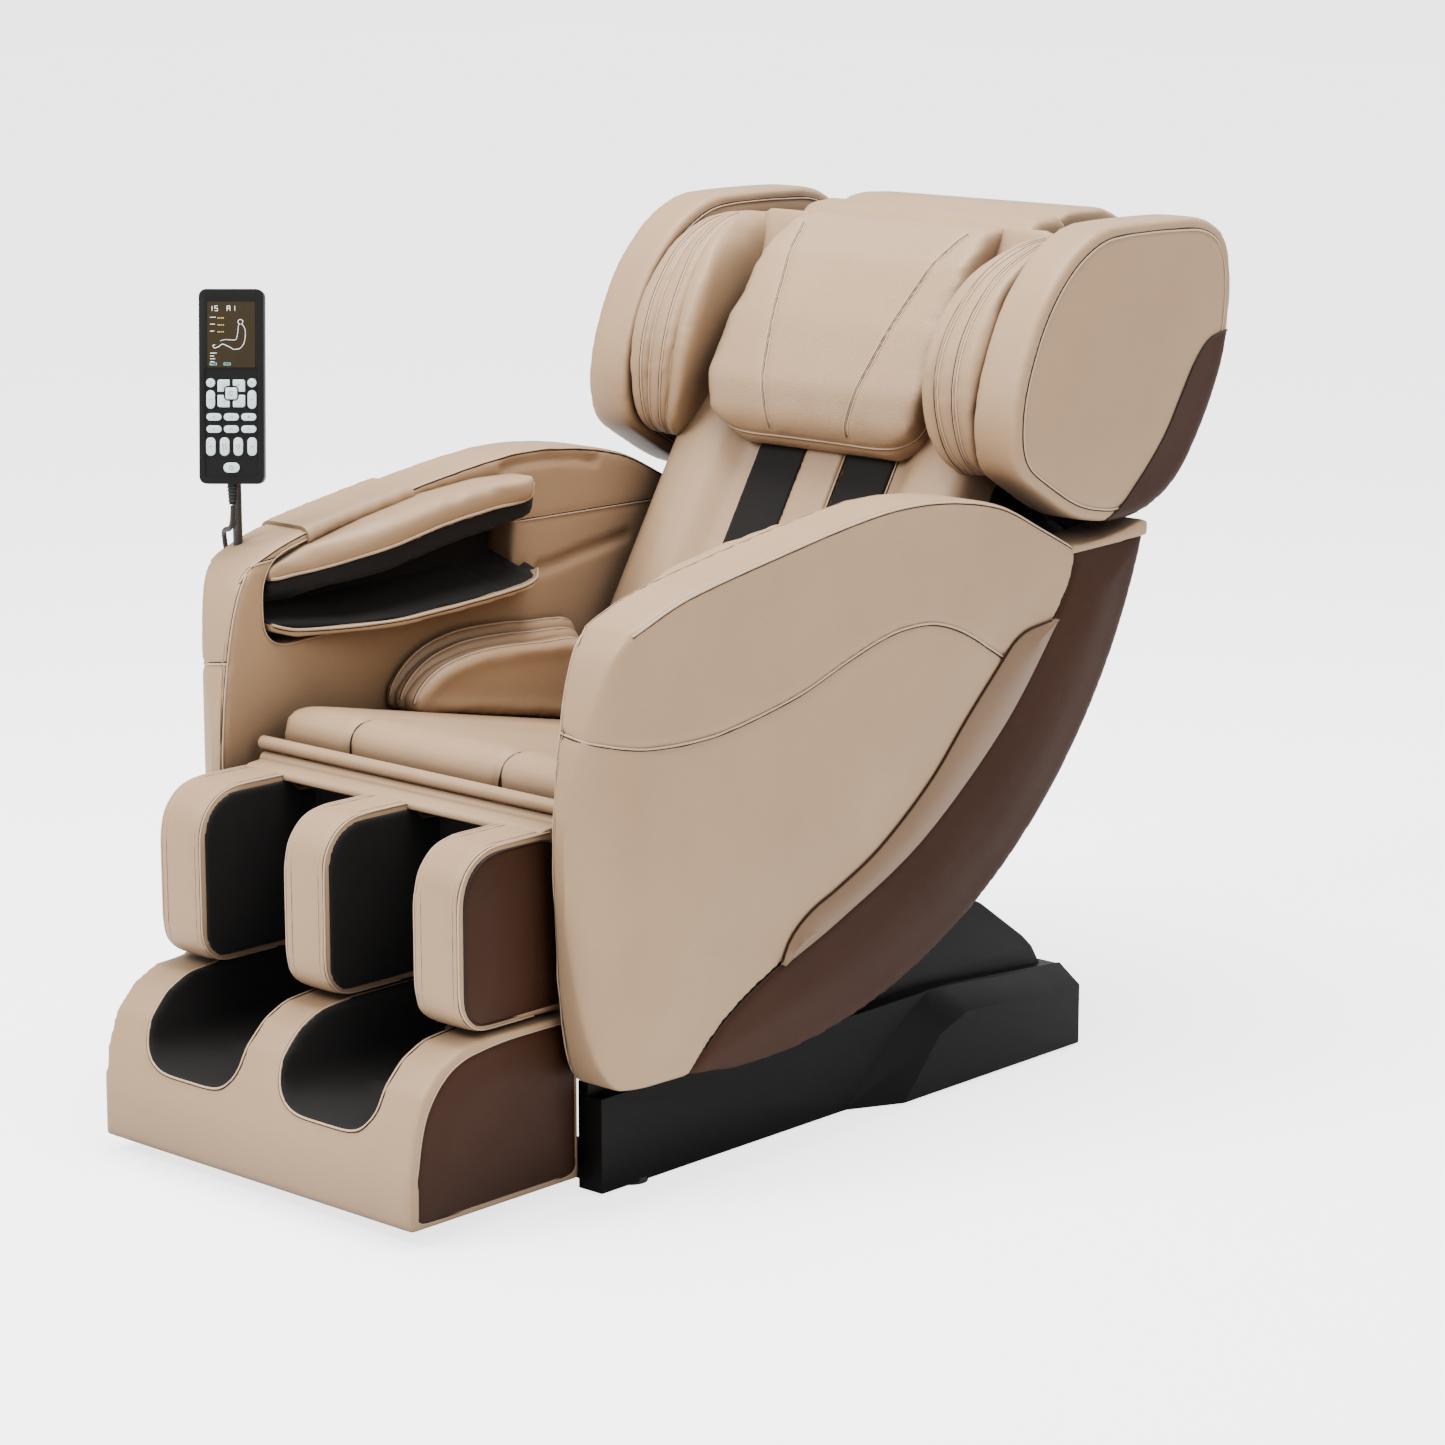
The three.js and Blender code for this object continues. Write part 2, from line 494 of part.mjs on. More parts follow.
const footTop = 224;
const footBottom = 20;
const footFront = -halfLength;
const toeHalf = 38;
const rollerZ = 92;
function footRest() {
  const side = [[-437, footBottom], [-437, footTop - 10], [-450, footTop], [-575, footTop],
    ...smooth([[-628, 218], [-660, 203], [-686, 176], [-702, 135], [-709, 90], [footFront, footBottom]], 2)];
  const well = new THREE.Shape();
  const wellHalf = 81;
  const wellMiddle = 119;
  well.moveTo(-wellHalf - 4, 300);
  well.lineTo(-wellHalf, 160);
  well.absarc(-wellHalf + 40, 161, 40, Math.PI, 1.5 * Math.PI, false);
  well.absarc(wellHalf - 40, 161, 40, 1.5 * Math.PI, 2 * Math.PI, false);
  well.lineTo(wellHalf + 4, 300);
  const backward = (middle) => prism(well, 470, 760, X, Z, Y.clone().negate(), 5).translate([middle, 0, 0]);
  const rollerRoom = [-1, 1].map((s) => box(s * wellMiddle - 62, s * wellMiddle + 62, -650, -500, 52, 130));
  const shaftRoom = box(-190, 190, -585, -565, rollerZ - 12, rollerZ + 60);
  const rods = [-1, 1].map((s) => cylinderZ(slideRods.radius, s * slideRods.x, slideRods.y, 150, 400, 12)
    .add(box(s * slideRods.x - 12, s * slideRods.x + 12, -440, slideRods.y + 8, 130, 165)));
  return alongX(side.reverse(), -footHalf, footHalf).subtract(joined(backward(-wellMiddle), backward(wellMiddle), ...rollerRoom, shaftRoom))
    .add(joined(...rods)).add(joined(box(-toeHalf + 12, -toeHalf + 20, -600, -550, 30, 120), box(toeHalf - 20, toeHalf - 12, -600, -550, 30, 120))
      .subtract(cylinderX(7, -60, 60, -575, rollerZ, 12)));
}
const rollerMiddle = [-575, rollerZ];
function footRoller() {
  const shaft = cylinderX(5.5, -178, 178, ...rollerMiddle, 12);
  const drums = [-119, 119].map((x) => cylinderX(30, x - 52, x + 52, ...rollerMiddle, 10));
  return joined(shaft, ...drums);
}

// ---- remote -------------------------------------------------------------------------------------
// Drawn upright, facing -Y, with its lower end's middle at the origin.
const remote = new THREE.Group();
remote.position.set(...remoteFoot);
remote.rotation.set(remoteLean, 0, remoteTurn, 'ZYX');
const faceY = -remoteSize.depth / 2;

function roundedPlate(x, z, width, high, radius, y0, y1, segments = 3) {
  const r = Math.min(radius, width / 2 - 0.01, high / 2 - 0.01);
  const [w, h] = [width / 2, high / 2];
  const corner = (cx, cz, from) => arc([x + cx, z + cz], r, from, from + 90, segments);
  const outline = [...corner(w - r, h - r, 0), ...corner(-w + r, h - r, 90), ...corner(-w + r, -h + r, 180), ...corner(w - r, -h + r, 270)];
  return prism(outline, -y1, -y0, X, Z, Y.clone().negate());
}

function remoteHousing() {
  const { width, height: high, depth } = remoteSize;
  const shell = roundedPlate(0, high / 2, width, high, 9, faceY, depth / 2, 4);
  const keypad = roundedPlate(0, 76, 66, 136, 4, faceY - 1, faceY + 2.6);
  const screen = roundedPlate(0, 184, 60, 82, 2, faceY - 1, faceY + 1.2);
  const relief = new THREE.CylinderGeometry(6.6, 4.6, 26, 12);
  relief.rotateX(Math.PI / 2);
  relief.translate(0, 0, -12.5);
  return shell.subtract(keypad).subtract(screen).add(toSolid(relief));
}

// Each key: name, middle x, middle z, width, height, corner radius.
const column = 25.5;
const inner = 8.4;
const keys = [
  ['back', -column, 124.5, 11, 11, 5.5], ['waist', column, 124.5, 11, 11, 5.5],
  ['mode_left', -column, 104, 10.5, 23, 5.2], ['mode_right', column, 104, 10.5, 23, 5.2],
  ['auto', 0, 111.5, 14.5, 14.5, 2],
  ['buttock', -21.5, 82.5, 18.5, 9, 4.5], ['arm', 0, 82.5, 18.5, 9, 4.5], ['strength_up', 21.5, 82.5, 18.5, 9, 4.5],
  ['calf', -21.5, 67.5, 18.5, 9, 4.5], ['shoulder', 0, 67.5, 18.5, 9, 4.5], ['strength_down', 21.5, 67.5, 18.5, 9, 4.5],
  ['back_up', -column, 46, 11.5, 22.5, 5], ['heater', -inner, 46, 11.5, 22.5, 5], ['zero_gravity', inner, 46, 11.5, 22.5, 5],
  ['back_down', column, 46, 11.5, 22.5, 5],
  ['power', 0, 20, 20, 12.5, 6],
];
const cornerKeys = [['speed_up', -1, 1], ['speed_down', 1, 1], ['foot', -1, -1], ['foot_speed', 1, -1]];
const keyBack = faceY + 1.3;
const keyFront = faceY - 1.2;

function cornerKey(sx, sz) {
  const [far, near, gap] = [17, 2, 9.2];
  const points = [[near, far], [near, gap], [6, gap], [gap, 6], [gap, near], [far, near], [far, far - 2], [far - 2, far]];
  const outline = points.map(([x, z]) => [x * sx, 111.5 + z * sz]);
  return prism(sx * sz > 0 ? outline : outline.slice().reverse(), -keyBack, -keyFront, X, Z, Y.clone().negate());
}

function remoteHolder() {
  const plate = roundedPlate(0, 60, 44, 92, 8, remoteSize.depth / 2 + GAP, remoteSize.depth / 2 + 4.5);
  const toWorld = new THREE.Matrix4().compose(remote.position, remote.quaternion, new THREE.Vector3(1, 1, 1));
  const plateWorld = toSolid(toGeometry(plate).applyMatrix4(toWorld));
  const sleeve = cylinderZ(11, ...postAt, remoteFoot[2] + 14, remoteFoot[2] + 48).subtract(cylinderZ(7, ...postAt, 700, 900));
  const arm = alongX([[-19.5, 16], [-8, 16], [-8, 44], [-14.6, 44]], -7, 7).rotate([0, 0, THREE.MathUtils.radToDeg(remoteTurn)])
    .translate([postAt[0], postAt[1], remoteFoot[2]]);
  return joined(plateWorld, sleeve.add(arm.subtract(cylinderZ(7, ...postAt, 700, 900))));
}
const remoteStand = () => joined(cylinderZ(6, ...postAt, 688.5, remoteFoot[2] + 54), cylinderZ(9, ...postAt, remoteFoot[2] + 6, remoteFoot[2] + 13),
  cylinderZ(9, ...postAt, remoteFoot[2] + 49, remoteFoot[2] + 54));

const cordRoute = [[-325.1, -434.3, 755.6], [-326, -434, 747], [-334, -429, 731], [-350, -420, 722], [-368, -410, 718], [-382, -401, 711],
  [-388.5, -394, 696], [-389, -390, 670],
  [-389, -386, 600], [-389, -384, 500], [-389, -382, 400], [-389, -378, 300], [-389, -366, 225], [-389, -338, 178], [-389, -302, 164],
  [-389, -266, 178], [-389, -238, 225], [-389, -226, 300], [-389, -223, 400], [-389, -222, 480], [-389, -222, glandAt[1] - GAP]];
function remoteCord() {
  const path = new THREE.CatmullRomCurve3(cordRoute.map((p) => new THREE.Vector3(...p)), false, 'centripetal');
  const section = new THREE.Shape(arc([0, 0], cordRadius, 0, 315, 7).map(([a, b]) => new THREE.Vector2(a, b)));
  return toSolid(new THREE.ExtrudeGeometry(section, { steps: 76, extrudePath: path, bevelEnabled: false }));
}

// ---- assembly -----------------------------------------------------------------------------------
add('base_frame', baseFrame(), finishes.steel);
addPair('base_cover', baseCover(), finishes.plastic);
add('base_rear_cover', baseRearCover(), finishes.plastic);
add('power_switch', powerSwitch(), finishes.plastic);
addPair('transport_wheel', transportWheel(), finishes.rubber);
add('actuator_body', actuatorBody(), finishes.plastic);
add('actuator_rod', actuatorRod(), finishes.zinc);

add('body_frame', bodyFrame(), finishes.steel);
add('seat_cushion', seatCushion(), finishes.leather);
add('seat_front_roll', seatFrontRoll(), finishes.leather);
addPair('arm_inner_panel', armInnerPanel(), finishes.leather);
addPair('arm_outer_panel', armOuterPanel(), finishes.leather, rightArmDetails);
addPair('arm_rear_shell', armRearShell(), finishes.brown);
addPair('forearm_airbag', forearmAirbag(), finishes.lining);
addPair('hip_airbag', hipAirbag(), finishes.leather);
add('back_cushion', backCushion(), finishes.leather);
add('track_cover', trackCover(), finishes.lining);
add('back_cover', backCover(), finishes.brown);
addPair('head_wing', headWing(), finishes.leather);
addPair('shoulder_airbag', shoulderAirbag(), finishes.leather);
add('head_pillow', headPillow(), finishes.leather);

add('roller_carriage', rollerCarriage(), finishes.zinc);
add('upper_rollers', rollerPair(rollerAxes.upper), finishes.roller);
add('lower_rollers', rollerPair(rollerAxes.lower), finishes.roller);

add('calf_rest', calfRest(), finishes.leather);
add('foot_rest', footRest(), finishes.leather);
add('foot_roller', footRoller(), finishes.roller);

add('remote_stand', remoteStand(), finishes.plastic);
add('remote_holder', remoteHolder(), finishes.plastic);
add('remote_cord', remoteCord(), finishes.rubber);
chair.add(remote);
add('remote_housing', remoteHousing(), finishes.plastic, remote);
for (const [name, x, z, width, high, radius] of keys) {
  add('key_' + name, roundedPlate(x, z, width, high, radius, keyFront, keyBack), finishes.key, remote);
}
for (const [name, sx, sz] of cornerKeys) add('key_' + name, cornerKey(sx, sz), finishes.key, remote);

export default chair;
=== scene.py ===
# A full-body massage chair in beige and brown leather: soft forms, seams, plastics and the wired remote.
import json
import math

import bmesh
import bpy
from mathutils import Matrix, Vector
from mathutils.bvhtree import BVHTree
from mathutils.kdtree import KDTree

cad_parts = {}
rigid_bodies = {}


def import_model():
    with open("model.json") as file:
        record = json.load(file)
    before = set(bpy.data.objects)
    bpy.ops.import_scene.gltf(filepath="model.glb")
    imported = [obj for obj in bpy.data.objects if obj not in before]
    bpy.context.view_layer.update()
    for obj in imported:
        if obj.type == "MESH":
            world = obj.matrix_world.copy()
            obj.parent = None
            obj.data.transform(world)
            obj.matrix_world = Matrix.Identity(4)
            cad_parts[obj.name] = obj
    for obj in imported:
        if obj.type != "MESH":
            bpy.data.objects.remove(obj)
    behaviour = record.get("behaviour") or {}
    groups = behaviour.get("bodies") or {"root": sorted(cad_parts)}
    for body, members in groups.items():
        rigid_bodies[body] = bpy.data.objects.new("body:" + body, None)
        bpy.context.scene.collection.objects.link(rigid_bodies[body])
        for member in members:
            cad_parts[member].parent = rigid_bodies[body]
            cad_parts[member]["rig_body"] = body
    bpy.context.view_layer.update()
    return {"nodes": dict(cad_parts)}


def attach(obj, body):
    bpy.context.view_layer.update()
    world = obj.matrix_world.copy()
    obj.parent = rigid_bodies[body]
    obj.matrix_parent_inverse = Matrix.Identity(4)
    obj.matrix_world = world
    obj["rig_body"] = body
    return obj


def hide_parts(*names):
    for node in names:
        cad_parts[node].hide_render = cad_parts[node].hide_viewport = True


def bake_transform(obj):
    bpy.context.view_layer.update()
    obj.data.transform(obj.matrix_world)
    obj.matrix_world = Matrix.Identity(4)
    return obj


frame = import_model()
scene = bpy.context.scene
sides = {"left": 1, "right": -1}

# camera
cameraSettings = {"place": (3.5135, -3.7335, 1.5821), "azimuth": 42.4455, "elevation": 12.3599,
                  "lens": 102.38}


def placeCamera():
    azimuth = math.radians(cameraSettings["azimuth"])
    elevation = math.radians(cameraSettings["elevation"])
    away = Vector((math.sin(azimuth) * math.cos(elevation), -math.cos(azimuth) * math.cos(elevation),
                   math.sin(elevation)))
    camera = bpy.data.objects.new("camera", bpy.data.cameras.new("camera"))
    camera.data.lens = cameraSettings["lens"]
    camera.data.sensor_width = 36
    camera.location = cameraSettings["place"]
    camera.rotation_mode = "QUATERNION"
    camera.rotation_quaternion = (-away).to_track_quat("-Z", "Y")
    scene.collection.objects.link(camera)
    scene.camera = camera


placeCamera()


# curves and frames
def smoothLine(points, steps=4, closed=False):
    # a curve through a few points, in two or three axes
    count = len(points)
    line = []
    for i in range(count if closed else count - 1):
        if closed:
            p = [Vector(points[(i + k) % count]) for k in (-1, 0, 1, 2)]
        else:
            p = [Vector(points[min(max(i + k, 0), count - 1)]) for k in (-1, 0, 1, 2)]
        for step in range(steps):
            t = step / steps
            a = 2 * p[1] + (p[2] - p[0]) * t
            b = (2 * p[0] - 5 * p[1] + 4 * p[2] - p[3]) * t * t
            c = (3 * p[1] - p[0] - 3 * p[2] + p[3]) * t ** 3
            line.append((a + b + c) / 2)
    if not closed:
        line.append(Vector(points[-1]))
    return line


def arc(centre, radius, start, end, steps):
    angles = [math.radians(start + (end - start) * i / steps) for i in range(steps + 1)]
    return [(centre[0] + radius * math.cos(a), centre[1] + radius * math.sin(a)) for a in angles]


def inset(outline, distance):
    # every corner of a closed anticlockwise outline, moved inwards
    count = len(outline)
    moved = []
    for i in range(count):
        here = Vector(outline[i])
        before = (here - Vector(outline[i - 1])).normalized()
        after = (Vector(outline[(i + 1) % count]) - here).normalized()
        normal = Vector((-before.y - after.y, before.x + after.x)).normalized()
        reach = distance / max(0.5, normal.dot(Vector((-before.y, before.x))))
        moved.append(here + normal * reach)
    return moved


# the back's own frame: x across, s up its front, t towards the rear
backLean = math.radians(31.5)
backFoot = Vector((0, 0.100, 0.420))
backUp = Vector((0, math.sin(backLean), math.cos(backLean)))
backOut = Vector((0, math.cos(backLean), -math.sin(backLean)))
backFrame = Matrix.Translation(backFoot) @ Matrix((Vector((1, 0, 0)), backOut, backUp)).transposed().to_4x4()


def onBack(s, t, x=0.0):
    return backFoot + backUp * s + backOut * t + Vector((x, 0, 0))


# forms
def slab(outline, low, high, matrix=None):
    # an outline in y and z, from x = low to high
    bm = bmesh.new()
    corners = [bm.verts.new((low, p[0], p[1])) for p in outline]
    grown = bmesh.ops.extrude_face_region(bm, geom=[bm.faces.new(corners)])
    moving = [g for g in grown["geom"] if isinstance(g, bmesh.types.BMVert)]
    bmesh.ops.translate(bm, verts=moving, vec=(high - low, 0, 0))
    bmesh.ops.recalc_face_normals(bm, faces=bm.faces)
    if matrix:
        bm.transform(matrix)
        bmesh.ops.recalc_face_normals(bm, faces=bm.faces)
    if bm.calc_volume(signed=True) < 0:
        bmesh.ops.reverse_faces(bm, faces=bm.faces)
    return bm


# these turn a slab so that its outline lies in another plane
# plan: outline in x and y, growing along z; across: outline in x and z, growing along y
outlineInPlan = Matrix(((0, 1, 0, 0), (0, 0, 1, 0), (1, 0, 0, 0), (0, 0, 0, 1)))
outlineAcross = Matrix(((0, 1, 0, 0), (1, 0, 0, 0), (0, 0, 1, 0), (0, 0, 0, 1)))


def addTo(bm, other):
    mesh = bpy.data.meshes.new("joined")
    other.to_mesh(mesh)
    other.free()
    bm.from_mesh(mesh)
    bpy.data.meshes.remove(mesh)
    return bm


def softenEdges(bm, width, segments=3, angle=30):
    sharp = [e for e in bm.edges if len(e.link_faces) == 2 and e.calc_face_angle() > math.radians(angle)]
    bmesh.ops.bevel(bm, geom=sharp, offset=width, offset_type="OFFSET", affect="EDGES", segments=segments,
                    profile=0.5, material=-1, clamp_overlap=True)
    return bm


def smoothFaces(mesh):
    for face in mesh.polygons:
        face.use_smooth = True


def piece(name, bm, *materials):
    mesh = bpy.data.meshes.new(name)
    bm.to_mesh(mesh)
    bm.free()
    made = bpy.data.objects.new(name, mesh)
    scene.collection.objects.link(made)
    for material in materials:
        mesh.materials.append(material)
    smoothFaces(mesh)
    return made


def applyModifiers(made):
    graph = bpy.context.evaluated_depsgraph_get()
    result = bpy.data.meshes.new_from_object(made.evaluated_get(graph))
    made.modifiers.clear()
    old = made.data
    made.data = result
    result.name = made.name
    bpy.data.meshes.remove(old)
    smoothFaces(result)
    return made


def combine(made, tool, operation):
    # adds a second piece to the first, takes it out, or keeps what they share
    change = made.modifiers.new("combine", "BOOLEAN")
    change.operation = operation
    change.solver = "EXACT"
    change.object = tool
    applyModifiers(made)
    bpy.data.objects.remove(tool)
    return made


def cut(made, bm):
    return combine(made, piece("cutter", bm), "DIFFERENCE")


def keepWithin(made, bm):
    return combine(made, piece("keeper", bm), "INTERSECT")


def bevelled(made, width, segments, angle):
    edges = made.modifiers.new("edges", "BEVEL")
    edges.width = width
    edges.segments = segments
    edges.limit_method = "ANGLE"
    edges.angle_limit = math.radians(angle)
    edges.use_clamp_overlap = True
    return applyModifiers(made)


def rounded(made, voxel, rounds):
    # an even skin of small faces with its edges worn round
    skin = made.modifiers.new("skin", "REMESH")
    skin.mode = "VOXEL"
    skin.voxel_size = voxel
    skin.use_smooth_shade = True
    applyModifiers(made)
    return smoothed(made, rounds)


def smoothed(made, rounds):
    if rounds:
        wear = made.modifiers.new("wear", "SMOOTH")
        wear.factor = 0.5
        wear.iterations = rounds
        applyModifiers(made)
    return made


def moveVertices(made, change):
    for vertex in made.data.vertices:
        vertex.co = change(vertex.co)
    made.data.update()
    return made


def mirrored(made, name):
    bm = bmesh.new()
    bm.from_mesh(made.data)
    bmesh.ops.scale(bm, vec=(-1, 1, 1), verts=bm.verts)
    bmesh.ops.reverse_faces(bm, faces=bm.faces)
    return piece(name, bm, *made.data.materials)


# swelling
swelling = []          # (piece, how far a point may move)
swellSettings = {"pressure": 4.0, "frames": 20, "stiffness": 12.0, "settle": 8}


def swellLater(made, cap):
    swelling.append((made, cap))
    return made


def swellAll():
    rest = {}
    for made, cap in swelling:
        rest[made.name] = [v.co.copy() for v in made.data.vertices]
        cloth = made.modifiers.new("swell", "CLOTH")
        cloth.settings.use_pressure = True
        cloth.settings.uniform_pressure_force = swellSettings["pressure"]
        cloth.settings.tension_stiffness = swellSettings["stiffness"]
        cloth.settings.compression_stiffness = swellSettings["stiffness"]
        cloth.settings.shear_stiffness = swellSettings["stiffness"]
        cloth.settings.effector_weights.gravity = 0
        cloth.collision_settings.use_collision = False
        cloth.point_cache.frame_start = 1
        cloth.point_cache.frame_end = swellSettings["frames"]
    for number in range(1, swellSettings["frames"] + 1):
        scene.frame_set(number)
    for made, cap in swelling:
        applyModifiers(made)
        for vertex, start in zip(made.data.vertices, rest[made.name]):
            move = vertex.co - start
            if move.length > cap:
                vertex.co = start + move * (cap / move.length)
        made.data.update()
        smoothed(made, swellSettings["settle"])
    scene.frame_set(1)


# seams
def treeOf(made):
    bm = bmesh.new()
    bm.from_mesh(made.data)
    tree = BVHTree.FromBMesh(bm)
    bm.free()
    return tree


def evenly(points, spacing, closed=False):
    # the same line, with points an even distance apart
    ends = list(points) + ([points[0]] if closed else [])
    total = sum((b - a).length for a, b in zip(ends, ends[1:]))
    count = max(3, round(total / spacing))
    wanted = [total * i / count for i in range(count if closed else count + 1)]
    line, walked, k = [], 0.0, 0
    for distance in wanted:
        while k < len(ends) - 2 and walked + (ends[k + 1] - ends[k]).length < distance - 1e-9:
            walked += (ends[k + 1] - ends[k]).length
            k += 1
        step = (ends[k + 1] - ends[k]).length or 1e-9
        line.append(ends[k].lerp(ends[k + 1], min(1, (distance - walked) / step)))
    return line


def nearPoints(points):
    tree = KDTree(len(points))
    for i, point in enumerate(points):
        tree.insert(point, i)
    tree.balance()
    return tree


def pressSeam(made, line, depth, width):
    # draws the surface in along a line
    tree = nearPoints(line)
    normals = [v.normal.copy() for v in made.data.vertices]
    for vertex, normal in zip(made.data.vertices, normals):
        distance = tree.find(vertex.co)[2]
        if distance < 3 * width:
            vertex.co -= normal * depth * math.exp(-(distance / width) ** 2)
    made.data.update()


def tube(name, line, radius, material, closed=False, sides=6):
    curve = bpy.data.curves.new(name, "CURVE")
    curve.dimensions = "3D"
    spline = curve.splines.new("POLY")
    spline.points.add(len(line) - 1)
    for point, place in zip(spline.points, line):
        point.co = (*place, 1)
    spline.use_cyclic_u = closed
    curve.bevel_depth = radius
    curve.bevel_resolution = max(0, sides // 2 - 2)
    curve.use_fill_caps = True
    drawn = bpy.data.objects.new(name, curve)
    scene.collection.objects.link(drawn)
    graph = bpy.context.evaluated_depsgraph_get()
    mesh = bpy.data.meshes.new_from_object(drawn.evaluated_get(graph))
    bpy.data.objects.remove(drawn)
    bpy.data.curves.remove(curve)
    made = bpy.data.objects.new(name, mesh)
    scene.collection.objects.link(made)
    mesh.name = name
    mesh.materials.clear()
    mesh.materials.append(material)
    smoothFaces(mesh)
    return made


def steadied(line, rounds, closed=False):
    # a line with its small wobbles worn away
    for step in range(rounds):
        count = len(line)
        line = [line[i] if not closed and i in (0, count - 1)
                else (line[i - 1] + line[i] * 2 + line[(i + 1) % count]) / 4 for i in range(count)]
    return line


def laid(line, made, lift):
    # the nearest points on a piece, raised by lift
    tree = treeOf(made)
    found = [tree.find_nearest(point) for point in line]
    return [hit[0] + hit[1] * lift for hit in found]


def joined(name, parts):
    # several pieces made one, each keeping its own material
    bm = bmesh.new()
    materials = []
    for number, part in enumerate(parts):
        start = len(bm.faces)
        bm.from_mesh(part.data)
        bm.faces.ensure_lookup_table()
        for face in bm.faces[start:]:
            face.material_index = number
        materials.append(part.data.materials[0])
        bpy.data.objects.remove(part)
    return piece(name, bm, *materials)


seamSettings = {"spacing": 0.006, "steady": 8}


def sewSeam(name, made, points, material, body, closed=False, depth=0.0025, width=0.006, bead=0.0014,
            lift=0.0004, twin=0.0, shadow=0.0012):
    # a drawn-in line with a bead of piping in it, or a pair of beads twin apart, and beside it a thin dark
    # tube as painted seam shadow
    line = evenly(smoothLine(points, 6, closed), seamSettings["spacing"], closed)
    onSurface = steadied(laid(line, made, 0), seamSettings["steady"], closed)
    if depth:
        pressSeam(made, onSurface, depth, width)
    tree = treeOf(made)
    rows = {1: [], -1: []}
    for i, point in enumerate(onSurface):
        ahead = onSurface[(i + 1) % len(onSurface)] if closed else onSurface[min(i + 1, len(onSurface) - 1)]
        behind = onSurface[i - 1] if (closed or i) else onSurface[0]
        normal = tree.find_nearest(point)[1]
        across = (ahead - behind).cross(normal).normalized() * (twin / 2 if twin else bead * 1.1)
        for way in rows:
            rows[way].append(point + across * way)
    if twin:
        parts = [tube(name, steadied(laid(rows[way], made, lift), 4, closed), bead, material, closed)
                 for way in rows]
        dark = onSurface
    else:
        parts = [tube(name, steadied(laid(onSurface, made, lift), 3, closed), bead, material, closed)]
        dark = rows[1]
    # painted shadow: a thin dark tube sunk into the surface beside the bead
    if shadow:
        parts.append(tube(name, steadied(laid(dark, made, 0.0001 - shadow * 0.25), 3, closed), shadow,
                          seamShadow, closed))
    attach(joined(name, parts), body)


def finished(made, body, slotName, nodes=()):
    if nodes:
        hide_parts(*nodes)
    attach(made, body)
    return made


# shader groups
def shaderGroup(name, inputs, outputs):
    group = bpy.data.node_groups.new(name, "ShaderNodeTree")
    for label, value in inputs:
        socket = group.interface.new_socket(name=label, in_out="INPUT", socket_type="NodeSocketFloat")
        socket.default_value = value
    for label, kind in outputs:
        group.interface.new_socket(name=label, in_out="OUTPUT", socket_type=kind)
    return group, group.nodes.new("NodeGroupInput"), group.nodes.new("NodeGroupOutput")


def joinNodes(tree, *pairs):
    for start, end in pairs:
        tree.links.new(start, end)


def mathNode(tree, operation, first, second):
    made = tree.nodes.new("ShaderNodeMath")
    made.operation = operation
    for socket, value in zip(made.inputs, (first, second)):
        if isinstance(value, (int, float)):
            socket.default_value = value
        else:
            tree.links.new(value, socket)
    return made.outputs[0]


def noiseNode(tree, place, scale, detail=3.0, roughness=0.55):
    made = tree.nodes.new("ShaderNodeTexNoise")
    made.inputs["Detail"].default_value = detail
    made.inputs["Roughness"].default_value = roughness
    tree.links.new(place, made.inputs["Vector"])
    if isinstance(scale, (int, float)):
        made.inputs["Scale"].default_value = scale
    else:
        tree.links.new(scale, made.inputs["Scale"])
    return made


def grainGroup():
    # pebbled leather: small cells, finer pores and slow swells, with a mask of where the hide is paler
    group, given, out = shaderGroup(
        "leather grain", [("Cell Scale", 520.0), ("Swell", 0.5)],
        [("Height", "NodeSocketFloat"), ("Tone", "NodeSocketFloat"), ("Polish", "NodeSocketFloat")])
    place = group.nodes.new("ShaderNodeTexCoord").outputs["Object"]
    warp = noiseNode(group, place, 60.0)
    bent = group.nodes.new("ShaderNodeMix")
    bent.data_type = "VECTOR"
    bent.inputs["Factor"].default_value = 0.006
    joinNodes(group, (place, bent.inputs["A"]), (warp.outputs["Color"], bent.inputs["B"]))
    cells = group.nodes.new("ShaderNodeTexVoronoi")
    cells.feature = "DISTANCE_TO_EDGE"
    joinNodes(group, (bent.outputs["Result"], cells.inputs["Vector"]),
              (given.outputs["Cell Scale"], cells.inputs["Scale"]))
    pebble = mathNode(group, "MINIMUM", cells.outputs["Distance"], 0.22)
    pores = noiseNode(group, place, 1900.0, 2.0)
    swells = noiseNode(group, place, 9.0, 2.0)
    swellHeight = mathNode(group, "MULTIPLY", swells.outputs["Fac"], given.outputs["Swell"])
    poreHeight = mathNode(group, "MULTIPLY", pores.outputs["Fac"], 0.12)
    fine = mathNode(group, "ADD", mathNode(group, "MULTIPLY", pebble, 2.2), poreHeight)
    height = mathNode(group, "ADD", fine, swellHeight)
    patches = noiseNode(group, place, 3.2, 4.0, 0.6)
    tone = mathNode(group, "ADD", mathNode(group, "MULTIPLY", patches.outputs["Fac"], 0.75),
                    mathNode(group, "MULTIPLY", pores.outputs["Fac"], 0.25))
    joinNodes(group, (height, out.inputs["Height"]), (tone, out.inputs["Tone"]),
              (swells.outputs["Fac"], out.inputs["Polish"]))
    return group


